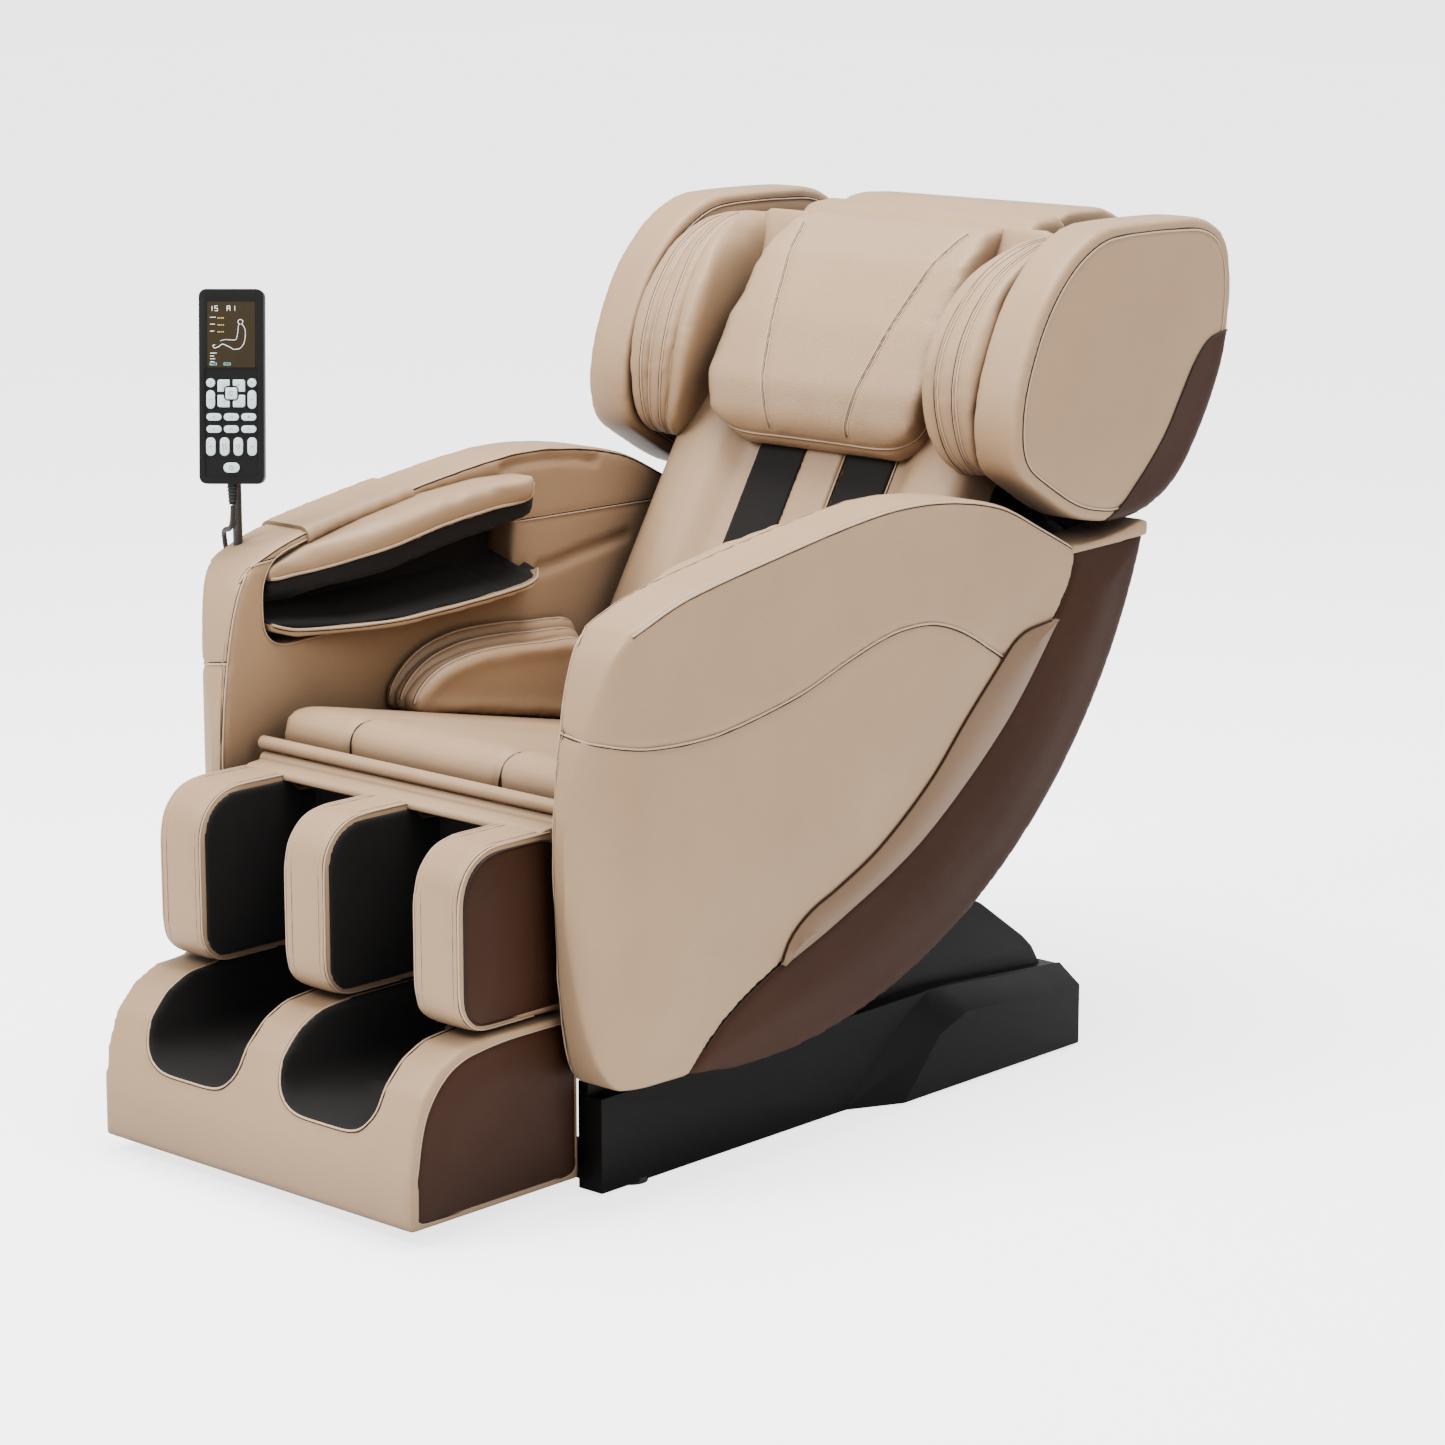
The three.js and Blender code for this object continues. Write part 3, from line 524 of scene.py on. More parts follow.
def wearGroup():
    # where a hard edge is rubbed: convex corners, broken up by noise
    group, given, out = shaderGroup("edge wear", [("Amount", 0.5)], [("Mask", "NodeSocketFloat")])
    geometry = group.nodes.new("ShaderNodeNewGeometry")
    place = group.nodes.new("ShaderNodeTexCoord").outputs["Object"]
    scuffs = noiseNode(group, place, 140.0, 5.0, 0.7)
    edge = group.nodes.new("ShaderNodeMapRange")
    edge.inputs["From Min"].default_value = 0.505
    edge.inputs["From Max"].default_value = 0.60
    joinNodes(group, (geometry.outputs["Pointiness"], edge.inputs["Value"]))
    broken = mathNode(group, "MULTIPLY", edge.outputs["Result"], scuffs.outputs["Fac"])
    joinNodes(group, (mathNode(group, "MULTIPLY", broken, given.outputs["Amount"]), out.inputs["Mask"]))
    return group


def weaveGroup():
    # a knitted stretch lining: crossing threads
    group, given, out = shaderGroup("knit", [("Thread Scale", 900.0)],
                                    [("Height", "NodeSocketFloat"), ("Shade", "NodeSocketFloat")])
    place = group.nodes.new("ShaderNodeTexCoord").outputs["Object"]
    waves = []
    for direction in ("X", "Y", "Z"):
        wave = group.nodes.new("ShaderNodeTexWave")
        wave.bands_direction = direction
        wave.inputs["Distortion"].default_value = 0.6
        wave.inputs["Detail"].default_value = 1.0
        joinNodes(group, (place, wave.inputs["Vector"]),
                  (given.outputs["Thread Scale"], wave.inputs["Scale"]))
        waves.append(wave.outputs["Fac"])
    crossing = mathNode(group, "MULTIPLY", mathNode(group, "ADD", waves[0], waves[1]),
                        mathNode(group, "ADD", waves[2], 0.4))
    fuzz = noiseNode(group, place, 5.0, 4.0)
    joinNodes(group, (crossing, out.inputs["Height"]), (fuzz.outputs["Fac"], out.inputs["Shade"]))
    return group


def pebbleGroup():
    # the fine spark-eroded texture of moulded plastic, with faint dust
    group, given, out = shaderGroup("moulded texture", [("Grain Scale", 1400.0)],
                                    [("Height", "NodeSocketFloat"), ("Dust", "NodeSocketFloat")])
    place = group.nodes.new("ShaderNodeTexCoord").outputs["Object"]
    grain = noiseNode(group, place, given.outputs["Grain Scale"], 2.0)
    dust = noiseNode(group, place, 7.0, 6.0, 0.65)
    joinNodes(group, (grain.outputs["Fac"], out.inputs["Height"]), (dust.outputs["Fac"], out.inputs["Dust"]))
    return group


def foldShadeGroup():
    # painted shade: how open a place is, so that the colour goes dark in folds and under overhangs
    group, given, out = shaderGroup("fold shade", [("Reach", 0.20)], [("Open", "NodeSocketFloat")])
    around = group.nodes.new("ShaderNodeAmbientOcclusion")
    around.samples = 8
    spread = group.nodes.new("ShaderNodeMapRange")
    spread.inputs["From Min"].default_value = 0.12
    spread.inputs["From Max"].default_value = 0.86
    joinNodes(group, (given.outputs["Reach"], around.inputs["Distance"]),
              (around.outputs["AO"], spread.inputs["Value"]),
              (spread.outputs["Result"], out.inputs["Open"]))
    return group


grain, wear, knit, moulded, foldShade = grainGroup(), wearGroup(), weaveGroup(), pebbleGroup(), foldShadeGroup()
print("shader groups built")


# materials
def blankMaterial(name, roughness, metallic=0.0, coat=0.0, specular=0.5):
    made = bpy.data.materials.new(name)
    made.use_nodes = True
    shader = made.node_tree.nodes["Principled BSDF"]
    shader.inputs["Roughness"].default_value = roughness
    shader.inputs["Metallic"].default_value = metallic
    shader.inputs["Coat Weight"].default_value = coat
    shader.inputs["Specular IOR Level"].default_value = specular
    return made, made.node_tree, shader


def placed(tree, group, **values):
    made = tree.nodes.new("ShaderNodeGroup")
    made.node_tree = group
    for label, value in values.items():
        made.inputs[label.replace("_", " ")].default_value = value
    return made


def blendColours(tree, mask, dark, pale, socket):
    mix = tree.nodes.new("ShaderNodeMix")
    mix.data_type = "RGBA"
    mix.inputs["A"].default_value = (*dark, 1)
    mix.inputs["B"].default_value = (*pale, 1)
    joinNodes(tree, (mask, mix.inputs["Factor"]), (mix.outputs["Result"], socket))
    return mix


def bump(tree, shader, height, strength, distance):
    made = tree.nodes.new("ShaderNodeBump")
    made.inputs["Strength"].default_value = strength
    made.inputs["Distance"].default_value = distance
    joinNodes(tree, (height, made.inputs["Height"]), (made.outputs["Normal"], shader.inputs["Normal"]))


def ranged(tree, value, low, high):
    made = tree.nodes.new("ShaderNodeMapRange")
    made.inputs["To Min"].default_value = low
    made.inputs["To Max"].default_value = high
    joinNodes(tree, (value, made.inputs["Value"]))
    return made.outputs["Result"]


# the first value scales the leather colour down where a place is closed in: painted shade
leatherSettings = {"foldShadeFactor": (0.30, 0.27, 0.255), "grainDepth": 0.0006}


def leatherMaterial(name, dark, pale, roughness=(0.42, 0.56), cells=520.0, strength=0.22, coat=0.04,
                    shine=0.4, sheen=0.05):
    made, tree, shader = blankMaterial(name, 0.5, coat=coat, specular=shine)
    shader.inputs["Coat Roughness"].default_value = 0.35
    shader.inputs["Sheen Weight"].default_value = sheen
    hide = placed(tree, grain, Cell_Scale=cells)
    # painted shade: the base colour darkens in folds and under overhangs
    foldShadeColour = tuple(c * k for c, k in zip(dark, leatherSettings["foldShadeFactor"]))
    shaded = blendColours(tree, placed(tree, foldShade).outputs["Open"], foldShadeColour, pale, shader.inputs["Base Color"])
    blendColours(tree, ranged(tree, hide.outputs["Tone"], -0.4, 1.4), dark, pale, shaded.inputs["B"])
    joinNodes(tree, (ranged(tree, hide.outputs["Polish"], *roughness), shader.inputs["Roughness"]))
    bump(tree, shader, hide.outputs["Height"], strength, leatherSettings["grainDepth"])
    return made


def liningMaterial():
    made, tree, shader = blankMaterial("black stretch lining", 0.7, specular=0.16)
    shader.inputs["Sheen Weight"].default_value = 0.03
    threads = placed(tree, knit)
    blendColours(tree, threads.outputs["Shade"], (0.0045, 0.0038, 0.0036), (0.0115, 0.0100, 0.0094),
                 shader.inputs["Base Color"])
    bump(tree, shader, threads.outputs["Height"], 0.25, 0.0003)
    return made


def plasticMaterial(name, dark, pale, roughness, scale=1400.0, strength=0.18, coat=0.0, worn=0.35, shine=0.5,
                    metallic=0.0):
    made, tree, shader = blankMaterial(name, roughness, metallic, coat, shine)
    skin = placed(tree, moulded, Grain_Scale=scale)
    rubbed = placed(tree, wear, Amount=worn)
    dusty = mathNode(tree, "ADD", mathNode(tree, "MULTIPLY", skin.outputs["Dust"], 0.5),
                     rubbed.outputs["Mask"])
    blendColours(tree, dusty, dark, pale, shader.inputs["Base Color"])
    joinNodes(tree, (ranged(tree, skin.outputs["Dust"], roughness - 0.06, roughness + 0.08),
                     shader.inputs["Roughness"]))
    bump(tree, shader, skin.outputs["Height"], strength, 0.0002)
    return made


def metalMaterial(name, dark, pale, roughness, metallic):
    made, tree, shader = blankMaterial(name, roughness, metallic)
    skin = placed(tree, moulded, Grain_Scale=420.0)
    rubbed = placed(tree, wear, Amount=0.8)
    tone = mathNode(tree, "ADD", mathNode(tree, "MULTIPLY", skin.outputs["Dust"], 0.6),
                    rubbed.outputs["Mask"])
    blendColours(tree, tone, dark, pale, shader.inputs["Base Color"])
    joinNodes(tree, (ranged(tree, skin.outputs["Dust"], roughness - 0.1, roughness + 0.1),
                     shader.inputs["Roughness"]))
    bump(tree, shader, skin.outputs["Height"], 0.12, 0.0002)
    return made


def glassMaterial():
    # the dark glossy front of the display
    made, tree, shader = blankMaterial("display glass", 0.10, coat=0.15, specular=0.3)
    skin = placed(tree, moulded, Grain_Scale=30.0)
    blendColours(tree, skin.outputs["Dust"], (0.022, 0.0145, 0.0050), (0.034, 0.0225, 0.0080),
                 shader.inputs["Base Color"])
    return made


def glowMaterial(name, colour, strength):
    made, tree, shader = blankMaterial(name, 0.4)
    skin = placed(tree, moulded, Grain_Scale=900.0)
    blendColours(tree, skin.outputs["Dust"], colour, tuple(c * 0.9 for c in colour),
                 shader.inputs["Base Color"])
    shader.inputs["Emission Color"].default_value = (*colour, 1)
    shader.inputs["Emission Strength"].default_value = strength
    return made


beige = leatherMaterial("beige leather", (0.362, 0.226, 0.123), (0.455, 0.296, 0.168), cells=430.0,
                        strength=0.38)
beigeGrained = leatherMaterial("beige grained leather", (0.372, 0.236, 0.132), (0.470, 0.310, 0.180),
                               cells=310.0, strength=0.8)
# a paler copy of the beige leather for the piping beads: partly their own colour, partly a painted highlight
beigePiping = leatherMaterial("beige piping", (0.50, 0.345, 0.225), (0.60, 0.43, 0.29), cells=900.0,
                              strength=0.1)
# a dark leather for the thin tubes beside the seams and the trim: painted shadow
seamShadow = leatherMaterial("seam shadow", (0.028, 0.0145, 0.0080), (0.045, 0.024, 0.0135), cells=900.0,
                             strength=0.1, coat=0.0, shine=0.1, sheen=0.0)
brown = leatherMaterial("brown leather", (0.0270, 0.0092, 0.0038), (0.048, 0.0178, 0.0084),
                        roughness=(0.40, 0.54), coat=0.0, shine=0.13, sheen=0.0)
brownPiping = leatherMaterial("brown piping", (0.018, 0.009, 0.006), (0.03, 0.015, 0.010), cells=900.0,
                              strength=0.1, coat=0.0, shine=0.2, sheen=0.0)
bronze = plasticMaterial("bronze trim", (0.185, 0.108, 0.059), (0.255, 0.156, 0.088), 0.40, scale=300.0,
                         strength=0.03, coat=0.05, worn=0.1, metallic=0.25)
lining = liningMaterial()
blackPlastic = plasticMaterial("black plastic", (0.0022, 0.0019, 0.0018), (0.0068, 0.0060, 0.0056), 0.42,
                               shine=0.13)
remotePlastic = plasticMaterial("dark grey plastic", (0.0062, 0.0058, 0.0058), (0.0145, 0.0135, 0.0135),
                                0.36, shine=0.2)
glossPanel = plasticMaterial("gloss black panel", (0.004, 0.004, 0.004), (0.010, 0.010, 0.010), 0.16,
                             strength=0.02, coat=0.15, shine=0.25)
keyRubber = plasticMaterial("pale key", (0.66, 0.80, 0.80), (0.84, 0.96, 0.95), 0.42, strength=0.05, worn=0.1)
keyMark = plasticMaterial("key mark", (0.012, 0.012, 0.014), (0.02, 0.02, 0.022), 0.5, worn=0.0)
rubber = plasticMaterial("black rubber", (0.008, 0.008, 0.008), (0.024, 0.023, 0.022), 0.62, strength=0.25)
paintedSteel = metalMaterial("black painted steel", (0.012, 0.012, 0.013), (0.05, 0.048, 0.046), 0.42, 0.2)
zinc = metalMaterial("zinc plate", (0.40, 0.41, 0.43), (0.62, 0.63, 0.65), 0.36, 1.0)
rollerRubber = plasticMaterial("roller rubber", (0.16, 0.095, 0.055), (0.24, 0.15, 0.09), 0.55)
display = glassMaterial()
glowWhite = glowMaterial("display white", (0.85, 0.9, 0.88), 1.2)
glowAmber = glowMaterial("display amber", (0.9, 0.62, 0.18), 0.9)
glowCyan = glowMaterial("display cyan", (0.25, 0.7, 0.75), 0.9)
print("materials built")


# more ways with forms
def mm(*points):
    return [tuple(c / 1000 for c in point) for point in points]


def edgeDistance(outline):
    # how far a point in y and z is from an outline
    ring = evenly([Vector((0, p[0], p[1])) for p in outline], 0.004, True)
    tree = nearPoints(ring)
    return lambda y, z: tree.find((0, y, z))[2]


def eased(t):
    t = max(0.0, min(1.0, t))
    return t * t * (3 - 2 * t)


def softForm(name, bm, material, voxel=0.006, rounds=10):
    return rounded(piece(name, bm, material), voxel, rounds)


def crowned(made, outline, face, rise, reach):
    # the side of a form nearest x = face swells by rise, away from its outline
    distance = edgeDistance(outline)
    way = 1 if face > 0 else -1

    def change(co):
        near = eased(1 - abs(co.x - face) / 0.03)
        return co + Vector((way * rise * near * eased(distance(co.y, co.z) / reach), 0, 0))
    return moveVertices(made, change)


def coveringOf(made, name, keeper, material, lift):
    # a second skin over the part of a piece that lies within keeper
    bm = bmesh.new()
    bm.from_mesh(made.data)
    bm.normal_update()
    for vertex in bm.verts:
        vertex.co += vertex.normal * lift
    skin = keepWithin(piece(name, bm, material), keeper)
    while len(skin.data.materials) > 1:
        skin.data.materials.pop()
    skin.data.set_sharp_from_angle(angle=math.radians(50))
    return skin


def sidePanel(name, outline, face, rise, material, reach=0.05, thickness=0.004, voxel=0.0045):
    # a padded panel sewn on a flat side
    way = 1 if face > 0 else -1
    low, high = sorted((face - way * 0.006, face + way * thickness))
    panel = softForm(name, slab(outline, low, high), material, voxel, 5)
    return crowned(panel, outline, face + way * thickness, rise, reach)


def cadForm(node):
    # a part's own solid, its flat faces whole again
    bm = bmesh.new()
    bm.from_mesh(frame["nodes"][node].data)
    bmesh.ops.remove_doubles(bm, verts=bm.verts, dist=0.00001)
    bmesh.ops.dissolve_limit(bm, angle_limit=math.radians(2), verts=bm.verts, edges=bm.edges)
    return bm


def hardPiece(node, material, slotName, width, segments=2, angle=25):
    # a moulded or machined part: its edges broken and its faces clean
    made = bevelled(piece(node + "_form", cadForm(node), material), width, segments, angle)
    made.data.set_sharp_from_angle(angle=math.radians(38))
    return finished(made, frame["nodes"][node]["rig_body"], slotName, [node])


# the wired remote's cord, first
cordSettings = {"radius": 0.0032, "bendStart": (-0.326, -0.434, 0.748), "bendEnd": (-0.345, -0.4235, 0.726)}
cordRoute = mm((-325.1, -434.3, 755.6), (-326, -434, 747), (-334, -429, 731), (-350, -420, 722),
               (-368, -410, 718), (-382, -401, 711), (-388.5, -394, 696), (-389, -390, 670),
               (-389, -386, 600), (-389, -384, 500), (-389, -382, 400), (-389, -378, 300),
               (-389, -366, 225), (-389, -338, 178), (-389, -302, 164), (-389, -266, 178),
               (-389, -238, 225), (-389, -226, 300), (-389, -223, 400), (-389, -222, 480),
               (-389, -222, 514.6))


def makeCord():
    line = evenly(smoothLine(cordRoute, 8), 0.005)
    cable = tube("remote_cable", line, cordSettings["radius"], rubber, sides=12)
    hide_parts("remote_cord")
    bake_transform(cable)


makeCord()

# arm outlines, y and z
armTop = mm((371, 683), (305, 715), (226, 752), (136, 771), (40, 777), (-55, 769), (-200, 746), (-355, 717),
            (-441, 687))
armFront = mm((-441, 687), (-466, 647), (-486, 560), (-496, 440), (-490, 270), (-478, 185), (-461, 148))
shellArc = arc((-0.228, 0.919), 0.786, -92.6, -17.5, 30)
seamLine = mm((-353, 145), (-311, 184), (-271, 211), (-195, 247), (-88, 286), (66, 357), (224, 476),
              (329, 594), (364, 645), (371, 683))
armSettings = {"inner": 0.286, "outer": 0.381, "cornerCentre": (0.301, -0.416), "cornerRadius": 0.080,
               "crown": 0.012, "voxel": 0.0055, "rounds": 5, "wall": 0.2975, "mouth": (0.27, 0.352)}


def flat(line):
    return [(p[0], p[1]) for p in line]


topCurve, frontCurve, seamCurve = (flat(smoothLine(line, 5)) for line in (armTop, armFront, seamLine))
padOutline = seamCurve[:-1] + topCurve[:-1] + frontCurve
armOutline = shellArc[:-1] + [(0.521, 0.683)] + topCurve[:-1] + frontCurve
rearOutline = shellArc[:-1] + [(0.521, 0.683)] + list(reversed(seamCurve))
forearmMouth = mm((-421, 600), (-400, 582), (-150, 588), (-4, 597), (10, 618), (14, 700), (-2, 744),
                  (-120, 742), (-300, 715), (-400, 688), (-421, 660))


def armOuterFace(y, distance):
    # where the outer face of the arm lies: a round front corner and a full middle
    face = armSettings["outer"]
    centre, radius = armSettings["cornerCentre"], armSettings["cornerRadius"]
    if y < centre[1]:
        face = centre[0] + math.sqrt(max(0.0004, radius ** 2 - (y - centre[1]) ** 2))
    return face - armSettings["crown"] * (1 - eased(distance / 0.16))


def makeArm():
    inner, outer, wall = armSettings["inner"], armSettings["outer"], armSettings["wall"]
    pad = piece("arm_left", slab(padOutline, inner, outer), beige)
    combine(pad, piece("arm_wall", slab(inset(armOutline, 0.004), inner - 0.001, wall), beige), "UNION")
    cut(pad, slab(forearmMouth, *armSettings["mouth"]))
    rounded(pad, armSettings["voxel"], armSettings["rounds"])
    distance = edgeDistance(padOutline)

    def change(co):
        if co.x < wall + 0.002:
            return co
        part = (co.x - inner) / (outer - inner)
        face = armOuterFace(co.y, distance(co.y, co.z))
        return Vector((inner + (face - inner) * part, co.y, co.z))
    moveVertices(pad, change)
    return smoothed(pad, 2)


waveSeam = mm((-596, 585), (-511, 567), (-444, 556), (-376, 549), (-307, 552), (-236, 563), (-164, 578),
              (-91, 602), (-16, 623), (38, 629), (85, 625), (132, 609), (181, 584), (222, 562))


def sewArm(side, pad):
    way = sides[side]

    def at(*points):
        return [(way * x / 1000, y / 1000, z / 1000) for x, y, z in points]

    wave = at((288, -486, 568), (325, -486, 563), (358, -466, 557), (374, -436, 552))
    wave += [(way * 0.379, y, z) for y, z in waveSeam[3:]]
    sewSeam(f"arm_wave_piping_{side}", pad, wave, beigePiping, "body", bead=0.0016, depth=0.003, width=0.006)
    outerTop = [(way * 0.366, y, z - 0.004) for y, z in topCurve[::-1]]
    sewSeam(f"arm_outer_piping_{side}", pad, outerTop, beigePiping, "body", bead=0.0015, depth=0.002,
            width=0.005)
    innerTop = [(way * 0.287, y, z - 0.002) for y, z in topCurve[::-1]]
    innerTop += [(way * 0.287, y + 0.002, z) for y, z in frontCurve]
    sewSeam(f"arm_inner_piping_{side}", pad, innerTop, beigePiping, "body", bead=0.0013, depth=0.0015,
            width=0.004)
    # two folds pressed into the inner wall behind the forearm pads
    groove = at((284, -4, 758), (284, 40, 761), (284, 90, 760), (284, 130, 756), (284, 168, 749))
    crease = at((284, 60, 616), (284, 107, 622), (284, 160, 631), (284, 225, 640))
    for fold, depth, width in ((groove, 0.006, 0.006), (crease, 0.007, 0.008)):
        pressSeam(pad, laid(evenly(smoothLine(fold, 6), 0.006), pad, 0), depth, width)
    lip = at((284, -300, 583), (284, -350, 582), (284, -398, 581), (284, -419, 592), (284, -424, 625),
             (284, -422, 662), (284, -403, 690), (284, -350, 706), (284, -300, 718))
    sewSeam(f"arm_mouth_piping_{side}", pad, lip, beigePiping, "body", bead=0.0012, depth=0.0, lift=0.0002,
            shadow=0)


def stripBetween(name, lines, material, thickness):
    # rows of points joined into one sheet, then given a thickness
    bm = bmesh.new()
    rows = []
    for line in lines:
        corners = [bm.verts.new(p) for p in line]
        rows.append([bm.edges.new(pair) for pair in zip(corners, corners[1:])])
    for first, second in zip(rows, rows[1:]):
        bmesh.ops.bridge_loops(bm, edges=first + second)
    bmesh.ops.recalc_face_normals(bm, faces=bm.faces)
    made = piece(name, bm, material)
    skin = made.modifiers.new("thickness", "SOLIDIFY")
    skin.thickness = thickness
    skin.offset = 0
    bevelled(made, 0.0008, 2, 40)
    made.data.set_sharp_from_angle(angle=math.radians(30))
    return made


# the trim on the outside of each arm
# the gap value is the radius of a dark tube along the trim's front edge: painted shadow
trimSettings = {"front": 0.0004, "rise": 0.0068, "back": 0.0042, "count": 48, "thickness": 0.004,
                "gap": 0.0015}
trimFront = mm((-192, 248), (-181, 272), (-162, 291), (-133, 308), (-88, 325), (-12, 361), (80, 427),
               (151, 498), (222, 562), (242, 578), (271, 589), (329, 594))
trimRidge = mm((-192, 248), (-168, 266), (-140, 279), (-105, 293), (-60, 314), (10, 349), (98, 414),
               (170, 482), (236, 541), (262, 560), (288, 574), (329, 594))


def makeTrim():
    distance = edgeDistance(padOutline)

    def sameCount(line):
        smooth = smoothLine(line, 8)
        total = sum((q - p).length for p, q in zip(smooth, smooth[1:]))
        return evenly(smooth, total / trimSettings["count"])

    def onFace(line, lift):
        return [Vector((armOuterFace(p.x, distance(p.x, p.y)) + lift, p.x, p.y)) for p in sameCount(line)]

    rear = [trimFront[0]] + [p for p in seamLine if -0.19 < p[0] < 0.32] + [trimFront[-1]]
    front = onFace(trimFront, trimSettings["front"])
    ridge = onFace(trimRidge, trimSettings["rise"])
    back = onFace(rear, trimSettings["back"])
    middle = [a.lerp(b, 0.5) - Vector((0.0010, 0, 0)) for a, b in zip(front, ridge)]
    made = stripBetween("arm_trim_left", [front, middle, ridge, back], bronze, trimSettings["thickness"])
    # painted shadow: a thin dark tube along the trim's front edge, where it meets the arm
    gap = tube("gap", [p + Vector((0.0016, 0, 0)) for p in front], trimSettings["gap"], seamShadow)
    return joined("arm_trim_left", [made, gap])


shellSettings = {"inner": 0.2985, "outer": 0.366, "rise": 0.006}


def makeShell():
    # the brown half-moon behind the arm, and the pale cap over its top end
    inner, outer = shellSettings["inner"], shellSettings["outer"]
    shell = softForm("arm_shell_left", slab(rearOutline, inner, outer), brown, 0.0055, 6)
    crowned(shell, rearOutline, outer, shellSettings["rise"], 0.07)
    capOutline = mm((358, 672), (366, 684), (392, 683), (430, 685), (476, 692), (512, 700), (524, 697),
                    (523, 678), (470, 676))
    cap = softForm("arm_cap_left", slab(capOutline, 0.288, 0.370), beige, 0.004, 4)
    return shell, cap


armPad = makeArm()
armTrim = makeTrim()
armShell, armCap = makeShell()
print("arms shaped")

# pads inside the arms
forearmSettings = {"inner": 0.224, "outer": 0.349, "narrowFrom": -0.230, "narrowTo": -0.430,
                   "narrowBy": 0.056, "cap": 0.005, "wedge": 0.034, "roundFrom": -0.030, "roundRun": 0.076,
                   "roundBy": 0.040}
upperEdge = mm((-417, 655), (-353, 664), (-258, 684), (-160, 702), (-60, 713), (17, 718), (40, 730))
upperTop = mm((40, 734), (22, 745), (-59, 746), (-159, 737), (-257, 719), (-352, 696), (-417, 672))
lowerTop = mm((40, 623), (-10, 615), (-162, 608), (-308, 602), (-416, 610))
lowerEdge = mm((-416, 600), (-379, 588), (-260, 588), (-112, 595), (-10, 604), (36, 612))
upperUnder = mm((-410, 648), (-353, 648), (-258, 661), (-160, 680), (-60, 694), (0, 702), (30, 722))


def taperedPad(co):
    span = forearmSettings["narrowFrom"] - forearmSettings["narrowTo"]
    part = eased((forearmSettings["narrowFrom"] - co.y) / span)
    behind = eased((co.y - forearmSettings["roundFrom"]) / forearmSettings["roundRun"]) ** 2
    narrowed = forearmSettings["narrowBy"] * part + forearmSettings["roundBy"] * behind
    reach = forearmSettings["outer"] - co.x
    width = forearmSettings["outer"] - forearmSettings["inner"]
    return Vector((forearmSettings["outer"] - reach * (width - narrowed) / width, co.y, co.z))


def wedged(way):
    # the leaves thicken towards the fold behind them: way is 1 for the lower one, -1 for the upper
    line = [Vector((p[0], p[1])) for p in (lowerEdge if way > 0 else upperUnder)]
    length = forearmSettings["outer"] - forearmSettings["inner"]

    def change(co):
        k = min(range(len(line)), key=lambda i: abs(line[i].x - co.y))
        base = line[k].y
        near = eased((co.z - base) / 0.012) if way > 0 else eased(1 - (co.z - base) / 0.014)
        part = max(0.0, (co.x - forearmSettings["inner"] - 0.01) / length)
        return Vector((co.x, co.y, co.z + way * forearmSettings["wedge"] * part * near))
    return change


def makeForearmPads():
    inner, outer = forearmSettings["inner"], forearmSettings["outer"]
    top = softForm("forearm_upper_left", slab(upperEdge + upperTop, inner + 0.004, outer), beige, 0.005, 7)
    underside = upperUnder + mm((30, 730)) + [(y, z + 0.004) for y, z in upperEdge[-2::-1]]
    under = softForm("forearm_upper_lining_left", slab(underside, inner + 0.012, outer), lining, 0.004, 3)
    bed = [(y, z + 0.006) for y, z in lowerEdge] + lowerTop
    floor = softForm("forearm_lower_lining_left", slab(bed, inner + 0.006, outer), lining, 0.0045, 6)
    lipOutline = lowerEdge + [(y, z + 0.011) for y, z in reversed(lowerEdge)]
    lip = softForm("forearm_lower_left", slab(lipOutline, inner + 0.002, outer), beige, 0.0036, 8)
    between = slab(mm((-412, 606), (-308, 600), (-162, 606), (-10, 612), (8, 620), (0, 660), (8, 706),
                      (-60, 700), (-160, 690), (-258, 672), (-353, 656), (-412, 650)), 0.318, 0.346)
    gusset = piece("forearm_gusset_left", softenEdges(between, 0.004), lining)
    tray = piece("forearm_tray_left", slab(inset(forearmMouth, 0.003), 0.340, 0.3535), lining)
    moveVertices(floor, wedged(1))
    moveVertices(under, wedged(-1))
    for made in (top, under, floor, lip, gusset):
        moveVertices(made, taperedPad)
    swellLater(top, forearmSettings["cap"])
    return top, under, floor, lip, gusset, tray


forearmPads = makeForearmPads()

# hip pads: three leaves that fan from one front corner
hipSettings = {"leaves": 3, "inner": 0.217, "outer": 0.283, "grow": 0.13, "cap": 0.004}
hipOutline = mm((-228, 482), (-225, 505), (-200, 532), (-163, 552), (-100, 564), (-37, 563), (40, 556),
                (110, 545), (128, 470), (110, 420), (0, 432), (-120, 452), (-205, 468))
hipLeaves, hipEdges = [], []


def makeHipPads():
    corner = Vector((-0.226, 0.480))
    count = hipSettings["leaves"]
    width = (hipSettings["outer"] - hipSettings["inner"]) / count
    for i in range(count):
        size = 1 - hipSettings["grow"] * (count - 1 - i)
        outline = []
        for p in smoothLine(list(reversed(hipOutline)), 3, True):
            away = Vector(p) - corner
            outline.append(tuple(corner + Vector((away.x * (1 - 0.04 * (count - 1 - i)),
                                                  away.y * (size if away.y > 0 else 1)))))
        low = hipSettings["inner"] + (0 if i == 0 else width * (i + 0.55)) - (0 if i == 0 else 0.006)
        high = hipSettings["inner"] + width * (i + 1.5 if i == 0 else i + 1.25)
        leaf = softForm(f"hip_leaf_left_{i + 1}", slab(outline, low, min(high, hipSettings["outer"])),
                        beige, 0.005, 9 if i == 0 else 5)
        if i == 0:
            crowned(leaf, outline, low, 0.006, 0.035)
        hipLeaves.append(swellLater(leaf, hipSettings["cap"]))
        rim = [p for p in outline if p[1] > 0.485]
        middle = low + 0.3 * (min(high, hipSettings["outer"]) - low)
        hipEdges.append([[(middle, y, z) for y, z in rim]])


makeHipPads()

